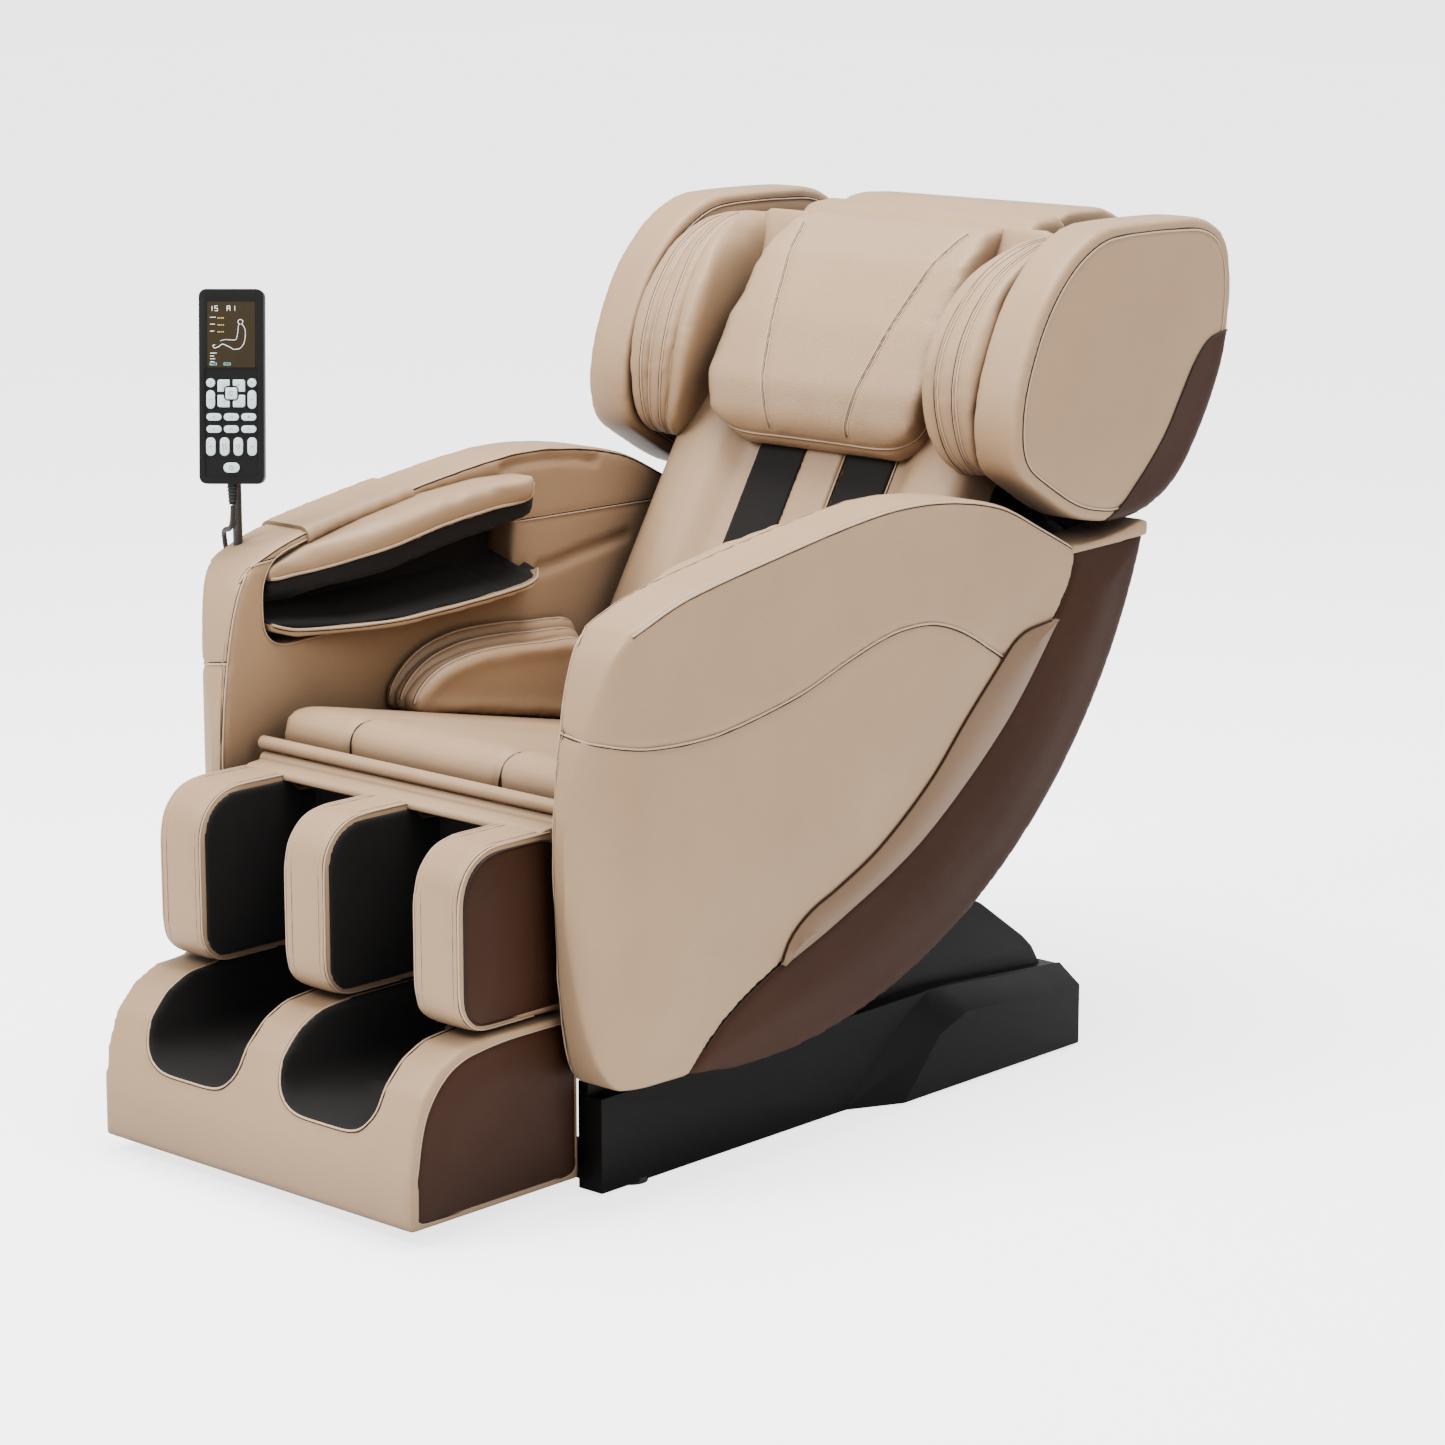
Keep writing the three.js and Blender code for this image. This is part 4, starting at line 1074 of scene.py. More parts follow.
# shoulder pads: three leaves hung between one top and one bottom corner
shoulderSettings = {"step": 0.006, "widths": ((0.203, 0.238), (0.227, 0.272), (0.261, 0.2985)), "cap": 0.004,
                    "gather": 0.6, "foot": 0.766, "tall": 0.302, "root": 0.2975}
shoulderFront = mm((440, 1066), (385, 1058), (320, 1026), (268, 968), (243, 905), (241, 845), (256, 795),
                   (290, 768))
shoulderRear = mm((300, 770), (345, 800), (440, 880), (520, 975), (535, 1020), (505, 1056), (440, 1066))
shoulderLeaves, shoulderEdges = [], []


def gathered(co):
    # the leaves draw together towards their top and bottom corners
    root, height = shoulderSettings["root"], (co.z - shoulderSettings["foot"]) / shoulderSettings["tall"]
    part = math.sin(math.pi * max(0.0, min(1.0, height))) ** 0.55
    return Vector((root - (root - co.x) * (1 - shoulderSettings["gather"] * (1 - part)), co.y, co.z))


def makeShoulderPads():
    front = smoothLine(shoulderFront, 5)
    rear = smoothLine(shoulderRear, 5)
    for i, (low, high) in enumerate(shoulderSettings["widths"]):
        step = shoulderSettings["step"] * (2 - i)
        edge = []
        for k, p in enumerate(front):
            bend = math.sin(math.pi * k / (len(front) - 1)) ** 0.8
            edge.append((p.x + step * bend, p.y - 0.1 * step * bend))
        outline = edge[:-1] + flat(rear)[:-1]
        leaf = softForm(f"shoulder_leaf_left_{i + 1}", slab(outline, low, high), beige, 0.005,
                        12 if i == 0 else 9)
        crowned(leaf, outline, low, 0.006 if i == 0 else 0.002, 0.06)
        moveVertices(leaf, gathered)
        shoulderLeaves.append(swellLater(leaf, shoulderSettings["cap"]))
        sewn = ([low + 0.0095] if i else []) + ([high - 0.0095] if i < 2 else [])
        shoulderEdges.append([[tuple(gathered(Vector((x, y, z)))) for y, z in edge[1:-1]] for x in sewn])


makeShoulderPads()

# the wings either side of the head
wingSettings = {"inner": 0.299, "outer": 0.372, "voxel": 0.0055, "rounds": 16, "crown": 0.009,
                "seamInset": 0.016}
wingOutline = mm((290, 762), (363, 722), (419, 708), (470, 705), (533, 718), (590, 752), (637, 811),
                 (674, 878), (690, 935), (694, 1000), (680, 1052), (640, 1078), (586, 1085), (440, 1085),
                 (389, 1072), (345, 1046), (300, 1000), (268, 945), (246, 885), (241, 835), (252, 790))
patchLine = mm((705, 933), (689, 930), (642, 925), (608, 901), (580, 863), (548, 814), (511, 772), (484, 746),
               (456, 720), (433, 708), (428, 700))
wingCurve = flat(smoothLine(wingOutline, 4, True))


def makeWing():
    wing = softForm("wing_left", slab(wingCurve, wingSettings["inner"], wingSettings["outer"]), beige,
                    wingSettings["voxel"], wingSettings["rounds"])
    crowned(wing, wingCurve, wingSettings["outer"], wingSettings["crown"], 0.12)
    boundary = flat(smoothLine(patchLine, 5))
    around = boundary + mm((428, 660), (560, 640), (740, 720), (760, 933))
    return wing, coveringOf(wing, "wing_patch_left", slab(around, 0.318, 0.42), brown, 0.0009), boundary


wing, wingPatch, patchBoundary = makeWing()
wingPost = piece("wing_post_left", softenEdges(
    slab(mm((358, 734), (514, 650), (530, 683), (505, 715), (395, 718)), 0.250, 0.296), 0.006), blackPlastic)
print("wings and side pads shaped")

# back: a cushion with two bolsters, a middle strip and two dark channels
backSettings = {"low": -0.004, "high": 0.745, "voxel": 0.006, "rounds": 10,
                "channelRun": (0.06, 0.66), "channelAt": 0.076, "channelDepth": 0.006, "channelWidth": 0.030}


def makeBack():
    half = mm((0, -1), (100, -1), (136, -3), (150, -13), (170, -25), (205, -30), (240, -28), (254, -20),
              (258, -8), (258, 40))
    section = [(-x, t) for x, t in reversed(half)] + half[1:]
    cushion = piece("back_cushion_form", slab(section, backSettings["low"], backSettings["high"],
                                              backFrame @ outlineInPlan), beige)
    low, high = backSettings["channelRun"]
    rounded(cushion, backSettings["voxel"], backSettings["rounds"])
    for way in (1, -1):
        across = way * backSettings["channelAt"]
        channel = [onBack(low + (high + 0.06 - low) * i / 60, -0.001, across) for i in range(61)]
        pressSeam(cushion, channel, backSettings["channelDepth"], backSettings["channelWidth"])
    return cushion


def makeStrip(name, low, high, run, lift, material):
    # a narrow padded strip along the back
    outline = mm((low, 6), (high, 6), (high, lift), (low, lift))
    strip = piece(name, slab(outline, run[0], run[1], backFrame @ outlineInPlan), material)
    return rounded(strip, 0.0045, 6)


backCushion = makeBack()
channelStrips = [makeStrip(f"channel_strip_{side}", *sorted((way * 36, way * 117)), (0.03, 0.69), -5, lining)
                 for side, way in sides.items()]
middleStrip = makeStrip("back_middle_strip", -34, 34, (0.0, 0.70), -9, beige)

# the rolls over the top of the back
crestSettings = {"half": 0.203, "rearHalf": 0.192, "voxel": 0.006, "rounds": 14}
crestOutline = mm((440, 985), (536, 968), (560, 1020), (560, 1068), (540, 1080), (500, 1077), (470, 1055))
rearCrestOutline = mm((545, 1010), (700, 1000), (708, 1035), (692, 1066), (655, 1082), (590, 1086),
                      (552, 1076))


def makeCrest(name, outline, half):
    return softForm(name, slab(outline, -half, half), beige, crestSettings["voxel"], crestSettings["rounds"])


crest = makeCrest("back_crest", crestOutline, crestSettings["half"])
rearCrest = makeCrest("back_rear_crest", rearCrestOutline, crestSettings["rearHalf"])

# pillow
pillowSettings = {"half": 0.198, "voxel": 0.0055, "rounds": 20, "cap": 0.004, "topSeam": 0.142,
                  "bottomSeam": 0.072}
pillowSide = mm((404, -24), (418, -62), (470, -82), (560, -86), (660, -77), (722, -52), (750, -20),
                (754, -5), (746, -1), (404, -1))


def makePillow():
    profile = [(t, s) for s, t in pillowSide]
    half = pillowSettings["half"]
    body = piece("pillow_form", slab(profile, -half, half, backFrame), beigeGrained)
    plan = mm((-168, 762), (-180, 660), (-189, 560), (-191, 484), (-178, 428), (-134, 404), (134, 404),
              (178, 428), (191, 484), (189, 560), (180, 660), (168, 762))
    keepWithin(body, slab(plan, -0.14, 0.02, backFrame @ outlineAcross))
    rounded(body, pillowSettings["voxel"], pillowSettings["rounds"])
    return swellLater(body, pillowSettings["cap"])


pillow = makePillow()

# seat
seatSettings = {"height": 0.505, "slope": 0.2, "half": 0.254, "rear": 0.105, "seams": 0.130, "cap": 0.005}


def seatTop(y):
    return seatSettings["height"] - seatSettings["slope"] * (y + 0.39)


def makeSeat():
    front = arc((-0.408, 0.483), 0.024, 180, 82, 6)
    rear = seatSettings["rear"]
    outline = [(-0.36, seatTop(-0.36)), (rear, seatTop(rear)), (rear, seatTop(rear) - 0.058)]
    outline = list(reversed([(-0.432, 0.452)] + front + outline))
    pad = softForm("seat_pad", slab(outline, -seatSettings["half"], seatSettings["half"]), beige, 0.006, 6)
    return swellLater(pad, seatSettings["cap"])


seatPad = makeSeat()
seatRoll = tube("seat_front_welt", [Vector((x / 1000, -0.4455, 0.4665)) for x in range(-266, 267, 14)],
                0.0088, beige, sides=16)
print("back, pillow and seat shaped")

# calf rest
calfSettings = {"walls": ((-0.262, -0.185), (-0.036, 0.036), (0.185, 0.262)), "voxel": 0.005, "rounds": 8,
                "lowerCorner": (-0.580, 0.268), "upperCorner": (-0.560, 0.385), "radii": (0.040, 0.060),
                "insetRadii": (0.0335, 0.053), "panelRise": {"brown": 0.005, "lining": 0.0015}}


def calfSide(radii, straight, lowerSteps, upperSteps):
    # the side of a wall: two round front corners and a straight back
    lower = arc(calfSettings["lowerCorner"], radii[0], 180, 270, lowerSteps)
    return lower + straight + arc(calfSettings["upperCorner"], radii[1], 90, 180, upperSteps)


calfOutline = calfSide(calfSettings["radii"], [(-0.407, 0.228), (-0.407, 0.425), (-0.462, 0.425),
                                               (-0.464, 0.445)], 8, 10)
calfInset = calfSide(calfSettings["insetRadii"], [(-0.404, 0.2345), (-0.404, 0.418), (-0.462, 0.423),
                                                  (-0.474, 0.438)], 6, 8)


def makeCalfWall(name, low, high):
    return softForm(name, slab(calfOutline, low, high), beige, calfSettings["voxel"], calfSettings["rounds"])


calfWalls = [makeCalfWall(f"calf_wall_{i + 1}", *span) for i, span in enumerate(calfSettings["walls"])]
backOutline = mm((-407, 229), (-407, 436), (-436, 436), (-431, 229))
calfBack = piece("calf_back", softenEdges(slab(backOutline, -0.2, 0.2), 0.003), lining)
bandOutline = mm((-407, 430), (-407, 449), (-440, 451), (-463, 449), (-484, 446), (-486, 437), (-440, 431))
calfBand = softForm("calf_top_band", slab(bandOutline, -0.259, 0.259), beige, 0.003, 2)
calfHinge = tube("calf_hinge_welt", [Vector((x / 1000, -0.448, 0.447)) for x in range(-260, 261, 20)],
                 0.0097, beige, sides=16)
calfDistance = edgeDistance(calfInset)


def makeCalfPanel(name, face, outward, material):
    low, high = sorted((face - outward * 0.008, face + outward * 0.0022))
    panel = softForm(name, slab(calfInset, low, high), material, 0.0045, 4)
    rise = calfSettings["panelRise"]["brown" if material is brown else "lining"]

    def change(co):
        if (co.x - face) * outward <= -0.003:
            return co
        return co + Vector((outward * rise * eased(calfDistance(co.y, co.z) / 0.05), 0, 0))
    return moveVertices(panel, change)


calfFaces = [(face, outward) for wall in calfSettings["walls"] for face, outward in zip(wall, (-1, 1))]
calfPanels = [makeCalfPanel(f"calf_panel_{i + 1}", *calfFaces[i], brown if i in (0, 5) else lining)
              for i in range(len(calfFaces))]

# foot rest
footSettings = {"half": 0.271, "well": 0.119, "wellHalf": 0.082, "wellFloor": 0.121, "corner": 0.040,
                "rollerAxis": (-0.575, 0.092), "rollerCover": 0.0345}
footSide = mm((-437, 20), (-437, 214), (-450, 224), (-575, 224), (-628, 218), (-660, 203), (-686, 176),
              (-702, 135), (-709, 90), (-711, 20))
footInset = mm((-443, 26), (-443, 210), (-453, 216), (-575, 216), (-624, 210), (-653, 196), (-678, 171),
               (-693, 133), (-700, 90), (-702, 26))


def wellOutline(centre, grow=0.0, top=0.30):
    half, floor = footSettings["wellHalf"] + grow, footSettings["wellFloor"] - grow
    corner = footSettings["corner"] + grow
    lower = arc((centre - half + corner, floor + corner), corner, 180, 270, 8)
    lower += arc((centre + half - corner, floor + corner), corner, 270, 360, 8)
    return [(centre - half - 0.004, top)] + lower + [(centre + half + 0.004, top)]


def makeFoot():
    body = piece("foot_body", slab(footSide, -footSettings["half"], footSettings["half"]), beige)
    for way in (1, -1):
        cut(body, slab(wellOutline(way * footSettings["well"]), -0.80, -0.30, outlineAcross))
    rounded(body, 0.0052, 5)
    axis, radius = Vector(footSettings["rollerAxis"]), footSettings["rollerCover"]

    def change(co):
        # the lining rises a little over the roller beneath it
        away = abs(co.y - axis.x)
        inWell = abs(abs(co.x) - footSettings["well"]) < 0.062
        if not inWell or away > radius or not 0.100 < co.z < 0.132:
            return co
        return Vector((co.x, co.y, max(co.z, axis.y + math.sqrt(radius ** 2 - away ** 2))))
    moveVertices(body, change)
    return body


footBody = makeFoot()
footLinings, footPanels = {}, {}
for side, way in sides.items():
    keeper = slab(wellOutline(way * footSettings["well"], 0.0035), -0.80, -0.30, outlineAcross)
    footLinings[side] = coveringOf(footBody, f"foot_lining_{side}", keeper, lining, 0.0008)
for side, way in sides.items():
    footPanels[side] = sidePanel(f"foot_panel_{side}", footInset[::-1], way * (footSettings["half"] - 0.0015),
                                 0.004, brown, thickness=0.003)
print("leg rest shaped")

# swell the stuffed pads together
swellAll()
print("pads swollen")


# the right-hand twins of the left-hand forms
def pairOf(made, body, slotName, nodeBase=None):
    twin = mirrored(made, made.name.replace("_left", "_right"))
    twin.data.set_sharp_from_angle(angle=math.radians(50))
    for each, side in ((made, "left"), (twin, "right")):
        nodes = [f"{base}_{side}" for base in nodeBase] if nodeBase else ()
        finished(each, body, slotName, nodes)
    return {"left": made, "right": twin}


arms = pairOf(armPad, "body", "beige_leather", ["arm_inner_panel", "arm_outer_panel"])
shells = pairOf(armShell, "body", "brown_leather", ["arm_rear_shell"])
pairOf(armCap, "body", "beige_leather")
pairOf(armTrim, "body", "plastic")
pairOf(wingPost, "body", "plastic")
for side in sides:
    sewArm(side, arms[side])
    way = sides[side]
    edge = [(way * 0.3715, y, z) for y, z in seamCurve[4:-3]]
    sewSeam(f"shell_piping_{side}", shells[side], edge, brownPiping, "body", depth=0.001, bead=0.0012)

strapKeeper = slab(mm((-345, 640), (-170, 668), (-166, 800), (-352, 790)), -0.40, -0.280)
strap = coveringOf(arms["right"], "arm_strap", strapKeeper, beige, 0.0045)
cut(strap, slab(mm((-300, 500), (-20, 500), (-20, 700), (-150, 672), (-300, 644), (-360, 630)), -0.42, -0.20))
finished(strap, "body", "beige_leather")

# forearm pads
upper, underLining, floorLining, lowerLip, gusset, tray = forearmPads
uppers = pairOf(upper, "body", "beige_leather", ["forearm_airbag"])
pairOf(underLining, "body", "lining")
pairOf(floorLining, "body", "lining")
lips = pairOf(lowerLip, "body", "beige_leather")
pairOf(gusset, "body", "lining")
pairOf(tray, "body", "lining")


def padRim(edge, way, short, rise):
    # along the open edge of a forearm pad
    line = [taperedPad(Vector((forearmSettings["inner"] + short, y, z + rise))) for y, z in edge]
    return [Vector((way * p.x, p.y, p.z)) for p in line]


for side, way in sides.items():
    sewSeam(f"forearm_upper_piping_{side}", uppers[side], padRim(upperEdge, way, 0.004, 0.003), beigePiping,
            "body", bead=0.0023, depth=0.0015)
    sewSeam(f"forearm_lower_piping_{side}", lips[side], padRim(lowerEdge, way, 0.002, 0.010), beigePiping,
            "body", bead=0.0021, depth=0.001)

# hip and shoulder leaves
for leaves, edges, nodeName in ((hipLeaves, hipEdges, "hip_airbag"),
                                (shoulderLeaves, shoulderEdges, "shoulder_airbag")):
    for i, (leaf, lines) in enumerate(zip(leaves, edges)):
        both = pairOf(leaf, "body", "beige_leather", [nodeName] if i == 0 else None)
        for side, way in sides.items():
            for k, edge in enumerate(lines):
                line = [(way * x, y, z) for x, y, z in edge]
                sewSeam(f"{nodeName}_piping_{side}_{i + 1}_{k + 1}", both[side], line, beigePiping, "body",
                        bead=0.0016, depth=0.0016, shadow=0.0015)

# wings
wings = pairOf(wing, "body", "beige_leather", ["head_wing"])
patches = pairOf(wingPatch, "body", "brown_leather")
wingSeamLine = inset(wingCurve, wingSettings["seamInset"])
for side, way in sides.items():
    for label, x in (("outer", wingSettings["outer"] + 0.002), ("inner", wingSettings["inner"])):
        line = [(way * x, y, z) for y, z in wingSeamLine]
        sewSeam(f"wing_piping_{label}_{side}", wings[side], line, beigePiping, "body", closed=True,
                bead=0.0015, depth=0.0022)
    line = [(way * 0.381, y, z) for y, z in patchBoundary[3:-3]]
    sewSeam(f"wing_patch_piping_{side}", patches[side], line, brownPiping, "body", bead=0.0016, depth=0)

# back
finished(backCushion, "body", "beige_leather", ["back_cushion"])
for i, strip in enumerate(channelStrips):
    finished(strip, "body", "lining", ["track_cover"] if i == 0 else ())
finished(middleStrip, "body", "beige_leather")
finished(crest, "body", "beige_leather")
finished(rearCrest, "body", "beige_leather")
for side, way in sides.items():
    for label, x in (("edge", 0.1185), ("middle", 0.0345)):
        line = [onBack(0.02 + 0.66 * i / 40, -0.004, way * x) for i in range(41)]
        sewSeam(f"back_{label}_piping_{side}", backCushion if label == "edge" else middleStrip, line,
                beigePiping, "body", bead=0.0014, depth=0.001)

# pillow
finished(pillow, "pillow", "beige_leather", ["head_pillow"])
for side, way in sides.items():
    top, bottom = pillowSettings["topSeam"], pillowSettings["bottomSeam"]
    line = [onBack(0.746 - 0.322 * i / 24, -0.10, way * (top + (bottom - top) * i / 24)) for i in range(25)]
    line += [onBack(0.410, -0.080, way * (bottom - 0.003)), onBack(0.402, -0.058, way * (bottom - 0.005))]
    sewSeam(f"pillow_seam_{side}", pillow, line, beigePiping, "pillow", bead=0.0011, depth=0.0028,
            width=0.006, twin=0.006, shadow=0.0005)
hem = [onBack(s, -0.040, x) for x, s in mm((-181, 650), (-190, 560), (-190, 490), (-175, 434), (-132, 410),
                                           (0, 402), (132, 410), (175, 434), (190, 490), (190, 560),
                                           (181, 650))]
sewSeam("pillow_hem", pillow, hem, beigePiping, "pillow", bead=0.0016, depth=0.002)

# seat
finished(seatPad, "body", "beige_leather", ["seat_cushion"])
finished(seatRoll, "body", "beige_leather", ["seat_front_roll"])
for side, way in sides.items():
    run = [(way * seatSettings["seams"], y, seatTop(y) + 0.002)
           for y in (0.05, -0.05, -0.15, -0.25, -0.33, -0.38)]
    run += [(way * seatSettings["seams"], -0.425, 0.500), (way * seatSettings["seams"], -0.434, 0.480),
            (way * seatSettings["seams"], -0.434, 0.458)]
    sewSeam(f"seat_seam_{side}", seatPad, run, brownPiping, "body", bead=0.0010, depth=0.006, width=0.007,
            lift=0.0002)

# calf rest
for i, wall in enumerate(calfWalls):
    finished(wall, "leg_rest", "beige_leather", ["calf_rest"] if i == 0 else ())
    low, high = calfSettings["walls"][i]
    for label, x in (("low", low + 0.0015), ("high", high - 0.0015)):
        front = [(-0.47, 0.445)] + calfOutline[-11:] + calfOutline[:9] + [(-0.50, 0.228)]
        bend = [Vector((x, y, z)) for y, z in front]
        sewSeam(f"calf_piping_{i + 1}_{label}", wall, bend, beigePiping, "leg_rest", bead=0.0013, depth=0.001)
        inward = 0.011 if label == "low" else -0.011
        stitch = [Vector((p.x + inward, p.y, p.z)) for p in bend]
        sewSeam(f"calf_stitch_{i + 1}_{label}", wall, stitch, beigePiping, "leg_rest", bead=0.0006,
                depth=0.0012, width=0.004, shadow=0)
finished(calfBack, "leg_rest", "lining")
finished(calfBand, "leg_rest", "beige_leather")
finished(calfHinge, "leg_rest", "beige_leather")
for panel in calfPanels:
    isBrown = panel.data.materials[0] == brown
    finished(panel, "leg_rest", "brown_leather" if isBrown else "lining")
    if isBrown:
        face = calfPanels[0] is panel
        line = [Vector(((-0.2635 if face else 0.2635), y, z)) for y, z in inset(calfInset, 0.001)]
        sewSeam(f"calf_panel_piping_{'right' if face else 'left'}", panel, line, brownPiping, "leg_rest",
                closed=True, bead=0.0013, depth=0)

# foot rest
finished(footBody, "foot_rest", "beige_leather", ["foot_rest"])
for each in footLinings.values():
    finished(each, "foot_rest", "lining")
for side, way in sides.items():
    finished(footPanels[side], "foot_rest", "brown_leather")
    line = [Vector((way * (footSettings["half"] + 0.001), y, z)) for y, z in footInset[::-1]]
    sewSeam(f"foot_panel_piping_{side}", footPanels[side], line, beigePiping, "foot_rest", closed=True,
            bead=0.0013, depth=0)


def wellRim(centre):
    # the welt round one foot well, over the top and down the curved front
    front = smoothLine([(z, y) for y, z in footSide[3:-1]], 6)

    def frontAt(z):
        return min(front, key=lambda p: abs(p.x - z)).y
    outline = wellOutline(centre, 0.0035, 0.2235)
    half = footSettings["wellHalf"] + 0.0075
    line = [Vector((centre - half, y, 0.2245)) for y in (-0.46, -0.49, -0.52, -0.55, -0.575)]
    sideRun = [0.222, 0.214, 0.205, 0.192, 0.178]
    line += [Vector((centre - half + 0.0005 * i, frontAt(z), z)) for i, z in enumerate(sideRun)]
    line += [Vector((x, frontAt(z), z)) for x, z in outline[1:-1]]
    line += [Vector((centre + half - 0.0005 * i, frontAt(sideRun[i]), sideRun[i])) for i in (4, 3, 2, 1, 0)]
    line += [Vector((centre + half, y, 0.2245)) for y in (-0.575, -0.55, -0.52, -0.49, -0.46)]
    return line


for side, way in sides.items():
    sewSeam(f"foot_well_piping_{side}", footBody, wellRim(way * footSettings["well"]), beigePiping,
            "foot_rest", bead=0.0014, depth=0.0005, lift=0.0008)
print("soft pieces sewn")

# moulded and metal parts
backCoverSettings = {"drop": 0.052, "edge": 0.006}


def makeBackCover():
    # the rear tub of the back, its top corners drawn down behind the wings
    bm = cadForm("back_cover")
    across = [way * x / 1000 for way in (1, -1) for x in (150, 170, 190, 210, 230, 250, 270, 285)]
    upward = [z / 1000 for z in (920, 950, 975, 1000, 1020, 1040, 1055, 1068)]
    for axis, places in (((1, 0, 0), across), ((0, 0, 1), upward)):
        for place in places:
            bmesh.ops.bisect_plane(bm, geom=bm.verts[:] + bm.edges[:] + bm.faces[:],
                                   plane_co=Vector(axis) * place, plane_no=axis)
    for vertex in bm.verts:
        x, z = abs(vertex.co.x), vertex.co.z
        drop = backCoverSettings["drop"] * eased((x - 0.150) / 0.13) * eased((z - 0.92) / 0.14)
        vertex.co.z -= drop
    cover = bevelled(piece("back_cover_form", bm, brown), backCoverSettings["edge"], 3, 35)
    cover.data.set_sharp_from_angle(angle=math.radians(40))
    return finished(cover, "body", "brown_leather", ["back_cover"])


makeBackCover()
for side in sides:
    hardPiece(f"base_cover_{side}", blackPlastic, "plastic", 0.003, 3)
    hardPiece(f"transport_wheel_{side}", rubber, "rubber", 0.0015)
for node, material, slotName, width, segments in (
        ("base_rear_cover", blackPlastic, "plastic", 0.0015, 2),
        ("base_frame", paintedSteel, "frame", 0.0015, 2),
        ("body_frame", paintedSteel, "frame", 0.0012, 2),
        ("actuator_body", paintedSteel, "frame", 0.001, 2),
        ("actuator_rod", zinc, "zinc", 0.0005, 2),
        ("roller_carriage", paintedSteel, "frame", 0.001, 2),
        ("upper_rollers", rollerRubber, "rollers", 0.002, 3),
        ("lower_rollers", rollerRubber, "rollers", 0.002, 3),
        ("foot_roller", rollerRubber, "rollers", 0.002, 3),
        ("power_switch", blackPlastic, "plastic", 0.0006, 2),
        ("remote_stand", paintedSteel, "frame", 0.0006, 2),
        ("remote_holder", blackPlastic, "plastic", 0.0006, 2),
        ("remote_housing", remotePlastic, "plastic", 0.0016, 3)):
    hardPiece(node, material, slotName, width, segments)


def disc(radius, depth, sidesCount=24):
    bm = bmesh.new()
    bmesh.ops.create_cone(bm, cap_ends=True, segments=sidesCount, radius1=radius, radius2=radius, depth=depth)
    return bm


def addDiscs(name, places, radius, depth, turn, material, body, slotName, soften=0.0006):
    bm = bmesh.new()
    for place in places:
        one = disc(radius, depth)
        one.transform(Matrix.Translation(place) @ turn)
        addTo(bm, one)
    softenEdges(bm, soften, 2, 40)
    made = piece(name, bm, material)
    made.data.set_sharp_from_angle(angle=math.radians(40))
    return finished(made, body, slotName)


addDiscs("base_feet", [Vector((way * 0.281, y, 0.004)) for way in (1, -1) for y in (-0.36, 0.36)], 0.020,
         0.008, Matrix(), rubber, "base", "rubber")
crossways = Matrix.Rotation(math.radians(90), 4, "X")
addDiscs("rear_cover_screws", [Vector((x, 0.4455, z)) for x in (-0.18, 0.18) for z in (0.035, 0.075)],
         0.0045, 0.0025, crossways, zinc, "base", "zinc")
addDiscs("inlet_pins", [Vector((0.066, 0.4195, 0.045)), Vector((0.078, 0.4195, 0.045)),
                        Vector((0.072, 0.4195, 0.0385))], 0.0016, 0.012, crossways, zinc, "base", "zinc",
         0.0003)
addDiscs("cord_boss", [Vector((-0.3865, -0.222, 0.530))], 0.0085, 0.030, Matrix(), rubber, "body", "rubber",
         0.002)

# the remote
remoteSettings = {"foot": (-0.328, -0.431, 0.782), "turn": 42, "lean": -10, "markLift": 0.01222}
remoteTurn = Matrix.Rotation(math.radians(remoteSettings["turn"]), 4, "Z")
remoteLean = Matrix.Rotation(math.radians(remoteSettings["lean"]), 4, "X")
remoteFrame = Matrix.Translation(remoteSettings["foot"]) @ remoteTurn @ remoteLean
keyNames = [node for node in frame["nodes"] if node.startswith("key_")]
for node in keyNames:
    hardPiece(node, keyRubber, "keys", 0.0009, 3, 30)


def plateOn(name, outline, depth, width, material):
    # a thin plate on the remote's face: outline in its own x and z, from y = -depth back by width
    made = piece(name, slab(outline, -depth, -depth + width, remoteFrame @ outlineAcross), material)
    made.data.set_sharp_from_angle(angle=math.radians(30))
    return finished(made, "remote", "plastic")


def roundedBox(cx, cz, w, h, r, steps=5):
    corners = ((cx + w / 2 - r, cz + h / 2 - r, 0), (cx - w / 2 + r, cz + h / 2 - r, 90),
               (cx - w / 2 + r, cz - h / 2 + r, 180), (cx + w / 2 - r, cz - h / 2 + r, 270))
    outline = []
    for x, z, start in corners:
        outline += arc((x, z), r, start, start + 90, steps)
    return outline


plateOn("remote_key_panel", roundedBox(0, 0.076, 0.0652, 0.1352, 0.004), 0.0086, 0.0003, glossPanel)
plateOn("remote_display", roundedBox(0, 0.184, 0.0592, 0.0812, 0.0015), 0.0108, 0.0010, display)
print("hard parts finished")


def strokes(name, lines, radius, depth, material, slotName="keys"):
    # thin raised marks on the remote's face, each a run of points in its x and z
    bm = bmesh.new()
    for line in lines:
        drawn = tube("stroke", [remoteFrame @ Vector((x / 1000, -depth, z / 1000)) for x, z in line],
                     radius, material, sides=4)
        bm.from_mesh(drawn.data)
        bpy.data.objects.remove(drawn)
    made = piece(name, bm, material)
    return finished(made, "remote", slotName)


digitBars = {"a": ((0, 2), (1, 2)), "b": ((1, 2), (1, 1)), "c": ((1, 1), (1, 0)), "d": ((0, 0), (1, 0)),
             "e": ((0, 0), (0, 1)), "f": ((0, 1), (0, 2)), "g": ((0, 1), (1, 1))}


def digit(shape, x, z, w, h):
    return [[(x + a * w, z + b * h / 2) for a, b in digitBars[bar]] for bar in shape]


def barRow(x, z, count, height=1.4, gap=2.2):
    return [[(x + gap * i, z), (x + gap * i, z + height)] for i in range(count)]


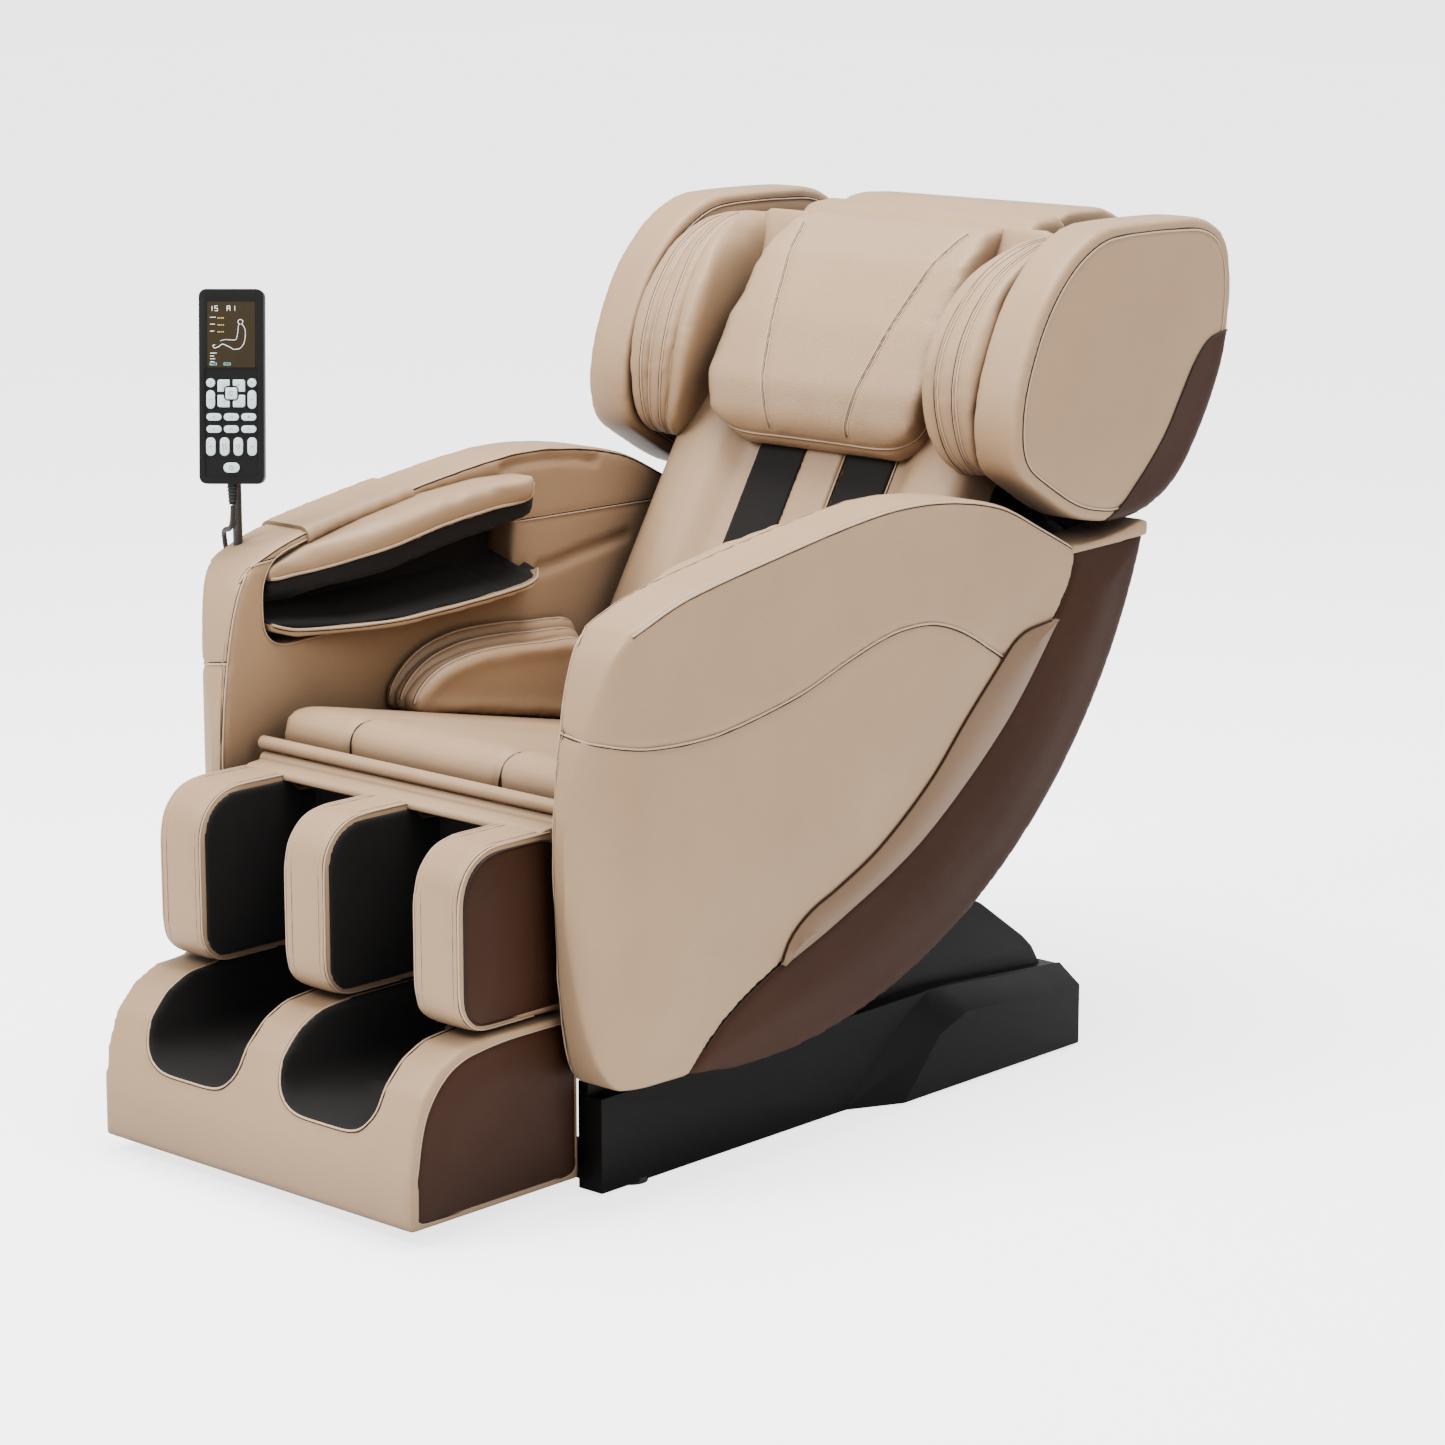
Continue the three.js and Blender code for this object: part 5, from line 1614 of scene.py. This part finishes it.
def box(x, z, w, h):
    return [(x, z), (x + w, z), (x + w, z + h), (x, z + h), (x, z)]


screenMarks = []
for shape, x, w in (("bc", -26, 2.6), ("afgcd", -20, 3.4), ("abcefg", -5, 3.6), ("bc", 2, 2.6)):
    screenMarks += digit(shape, x, 213, w, 6.0)
for row, length in ((205, 7), (196.5, 6), (188, 5), (161, 8), (157.5, 5), (154, 6), (150.5, 5)):
    screenMarks.append([(-26, row), (-26 + length, row)])
head = arc((11.5, 199.5), 3.0, -60, 270, 14)
spine = flat(smoothLine([(13.5, 196.5), (16.6, 192), (17.6, 186), (17.0, 178), (14.6, 171), (10, 166.5),
                         (3, 165.5)], 4))
legs = flat(smoothLine([(3, 165.5), (-4, 169.5), (-11, 172.0), (-16, 168.5), (-21, 167.5), (-22.5, 170.5),
                        (-19.5, 171.0)], 4))
front = flat(smoothLine([(9.5, 196.5), (8.6, 191), (8.0, 185), (6.0, 178), (0.5, 177.2), (-8, 177.6),
                         (-13.5, 176)], 4))
strokes("display_marks", screenMarks + [head, spine, legs, front], 0.00034, 0.0109, glowWhite, "plastic")
strokes("display_levels", barRow(-16, 203.5, 4) + barRow(-16, 195, 4) + barRow(-16, 186.5, 4), 0.00045,
        0.0109, glowAmber, "plastic")
strokes("display_boxes", [box(-26, 146.5, 8, 2.5), box(-9, 146.5, 8, 2.5)], 0.00030, 0.0109, glowCyan,
        "plastic")


def cross(x, z, size, plus=True):
    lines = [[(x - size, z), (x + size, z)]]
    return lines + ([[(x, z - size), (x, z + size)]] if plus else [])


def arrow(x, z, size, way):
    return [[(x - size, z - way * size / 2), (x, z + way * size / 2), (x + size, z - way * size / 2)]]


keyMarks = {"power": [arc((0, 20), 2.4, 120, 420, 16), [(0, 20.4), (0, 23.2)]],
            "strength_up": cross(21.5, 82.5, 1.8), "strength_down": cross(21.5, 67.5, 1.8, False),
            "back_up": arrow(-25.5, 46, 2.2, 1), "back_down": arrow(25.5, 46, 2.2, -1),
            "speed_up": cross(8.8, 121.6, 1.2), "speed_down": cross(-8.8, 121.6, 1.2, False),
            "mode_left": arrow(-25.5, 104, 1.8, 1), "mode_right": arrow(25.5, 104, 1.8, -1),
            "auto": [arc((0, 111.5), 2.6, 30, 330, 14)],
            "heater": [flat(smoothLine([(-8.4 + dx, 42), (-7.6 + dx, 44.5), (-9.2 + dx, 47.5),
                                        (-8.4 + dx, 50)], 4)) for dx in (-1.6, 1.6)],
            "zero_gravity": [arc((8.4, 46), 2.2, 0, 350, 14)],
            "buttock": arrow(-21.5, 82.5, 1.6, -1), "calf": arrow(-21.5, 67.5, 1.6, -1),
            "arm": [[(-2.4, 82.5), (2.4, 82.5)]], "shoulder": [[(-2.2, 66.6), (0, 68.6), (2.2, 66.6)]],
            "back": [[(-25.5, 122.6), (-25.5, 126.4)]], "waist": [[(23.6, 124.5), (27.4, 124.5)]],
            "foot": [[(-9.6, 101.4), (-7.0, 101.4)]],
            "foot_speed": [[(7.2, 100.6), (8.6, 102.2), (10.0, 100.6)]]}
for node in keyNames:
    label = node[4:]
    mark = strokes(f"mark_{label}", keyMarks[label], 0.00032, remoteSettings["markLift"], keyMark)
    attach(mark, frame["nodes"][node]["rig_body"])

ribs = bmesh.new()
for k in range(5):
    ring = disc(0.0071 - 0.0004 * k, 0.0022, 20)
    ring.transform(remoteFrame @ Matrix.Translation((0, 0, -0.004 - 0.0042 * k)))
    addTo(ribs, ring)
finished(piece("relief_ribs", softenEdges(ribs, 0.0005, 2, 40), rubber), "remote", "rubber")
print("remote detailed")

# floor, light and air
stageSettings = {"floor": 40.0, "world": (0.97, 0.97, 0.98), "worldStrength": 0.85, "seenStrength": 3.4,
                 "floorGlow": 2.6, "target": (0, -0.05, 0.5), "lights": (("key", (-1.2, -3.2, 3.4), 1.9, 185),
                                              ("fill", (3.4, -0.8, 3.0), 2.4, 44),
                                              ("top", (0.0, 0.2, 4.2), 2.4, 240),
                                              ("rear", (0.6, 3.6, 3.0), 2.4, 30))}


def makeStage():
    bm = bmesh.new()
    bmesh.ops.create_grid(bm, x_segments=1, y_segments=1, size=stageSettings["floor"] / 2)
    floorMaterial, tree, shader = blankMaterial("pale floor", 0.75, specular=0.2)
    skin = placed(tree, moulded, Grain_Scale=90.0)
    blendColours(tree, skin.outputs["Dust"], (0.93, 0.93, 0.93), (0.95, 0.95, 0.95),
                 shader.inputs["Base Color"])
    shader.inputs["Emission Color"].default_value = (1, 1, 1, 1)
    seen = tree.nodes.new("ShaderNodeLightPath").outputs["Is Camera Ray"]
    joinNodes(tree, (ranged(tree, seen, 0.0, stageSettings["floorGlow"]), shader.inputs["Emission Strength"]))
    floor = piece("floor", bm, floorMaterial)
    world = bpy.data.worlds.new("studio air")
    world.use_nodes = True
    world.node_tree.nodes["Background"].inputs["Color"].default_value = (*stageSettings["world"], 1)
    sky = world.node_tree
    seen = sky.nodes.new("ShaderNodeLightPath").outputs["Is Camera Ray"]
    strength = ranged(sky, seen, stageSettings["worldStrength"], stageSettings["seenStrength"])
    joinNodes(sky, (strength, sky.nodes["Background"].inputs["Strength"]))
    scene.world = world
    target = Vector(stageSettings["target"])
    for name, place, size, power in stageSettings["lights"]:
        lamp = bpy.data.objects.new(name + "_light", bpy.data.lights.new(name + "_light", "AREA"))
        lamp.data.shape = "DISK"
        lamp.data.size = size
        lamp.data.energy = power
        lamp.location = place
        lamp.rotation_mode = "QUATERNION"
        lamp.rotation_quaternion = (target - Vector(place)).to_track_quat("-Z", "Y")
        scene.collection.objects.link(lamp)


makeStage()

# the end
print("scene ready")
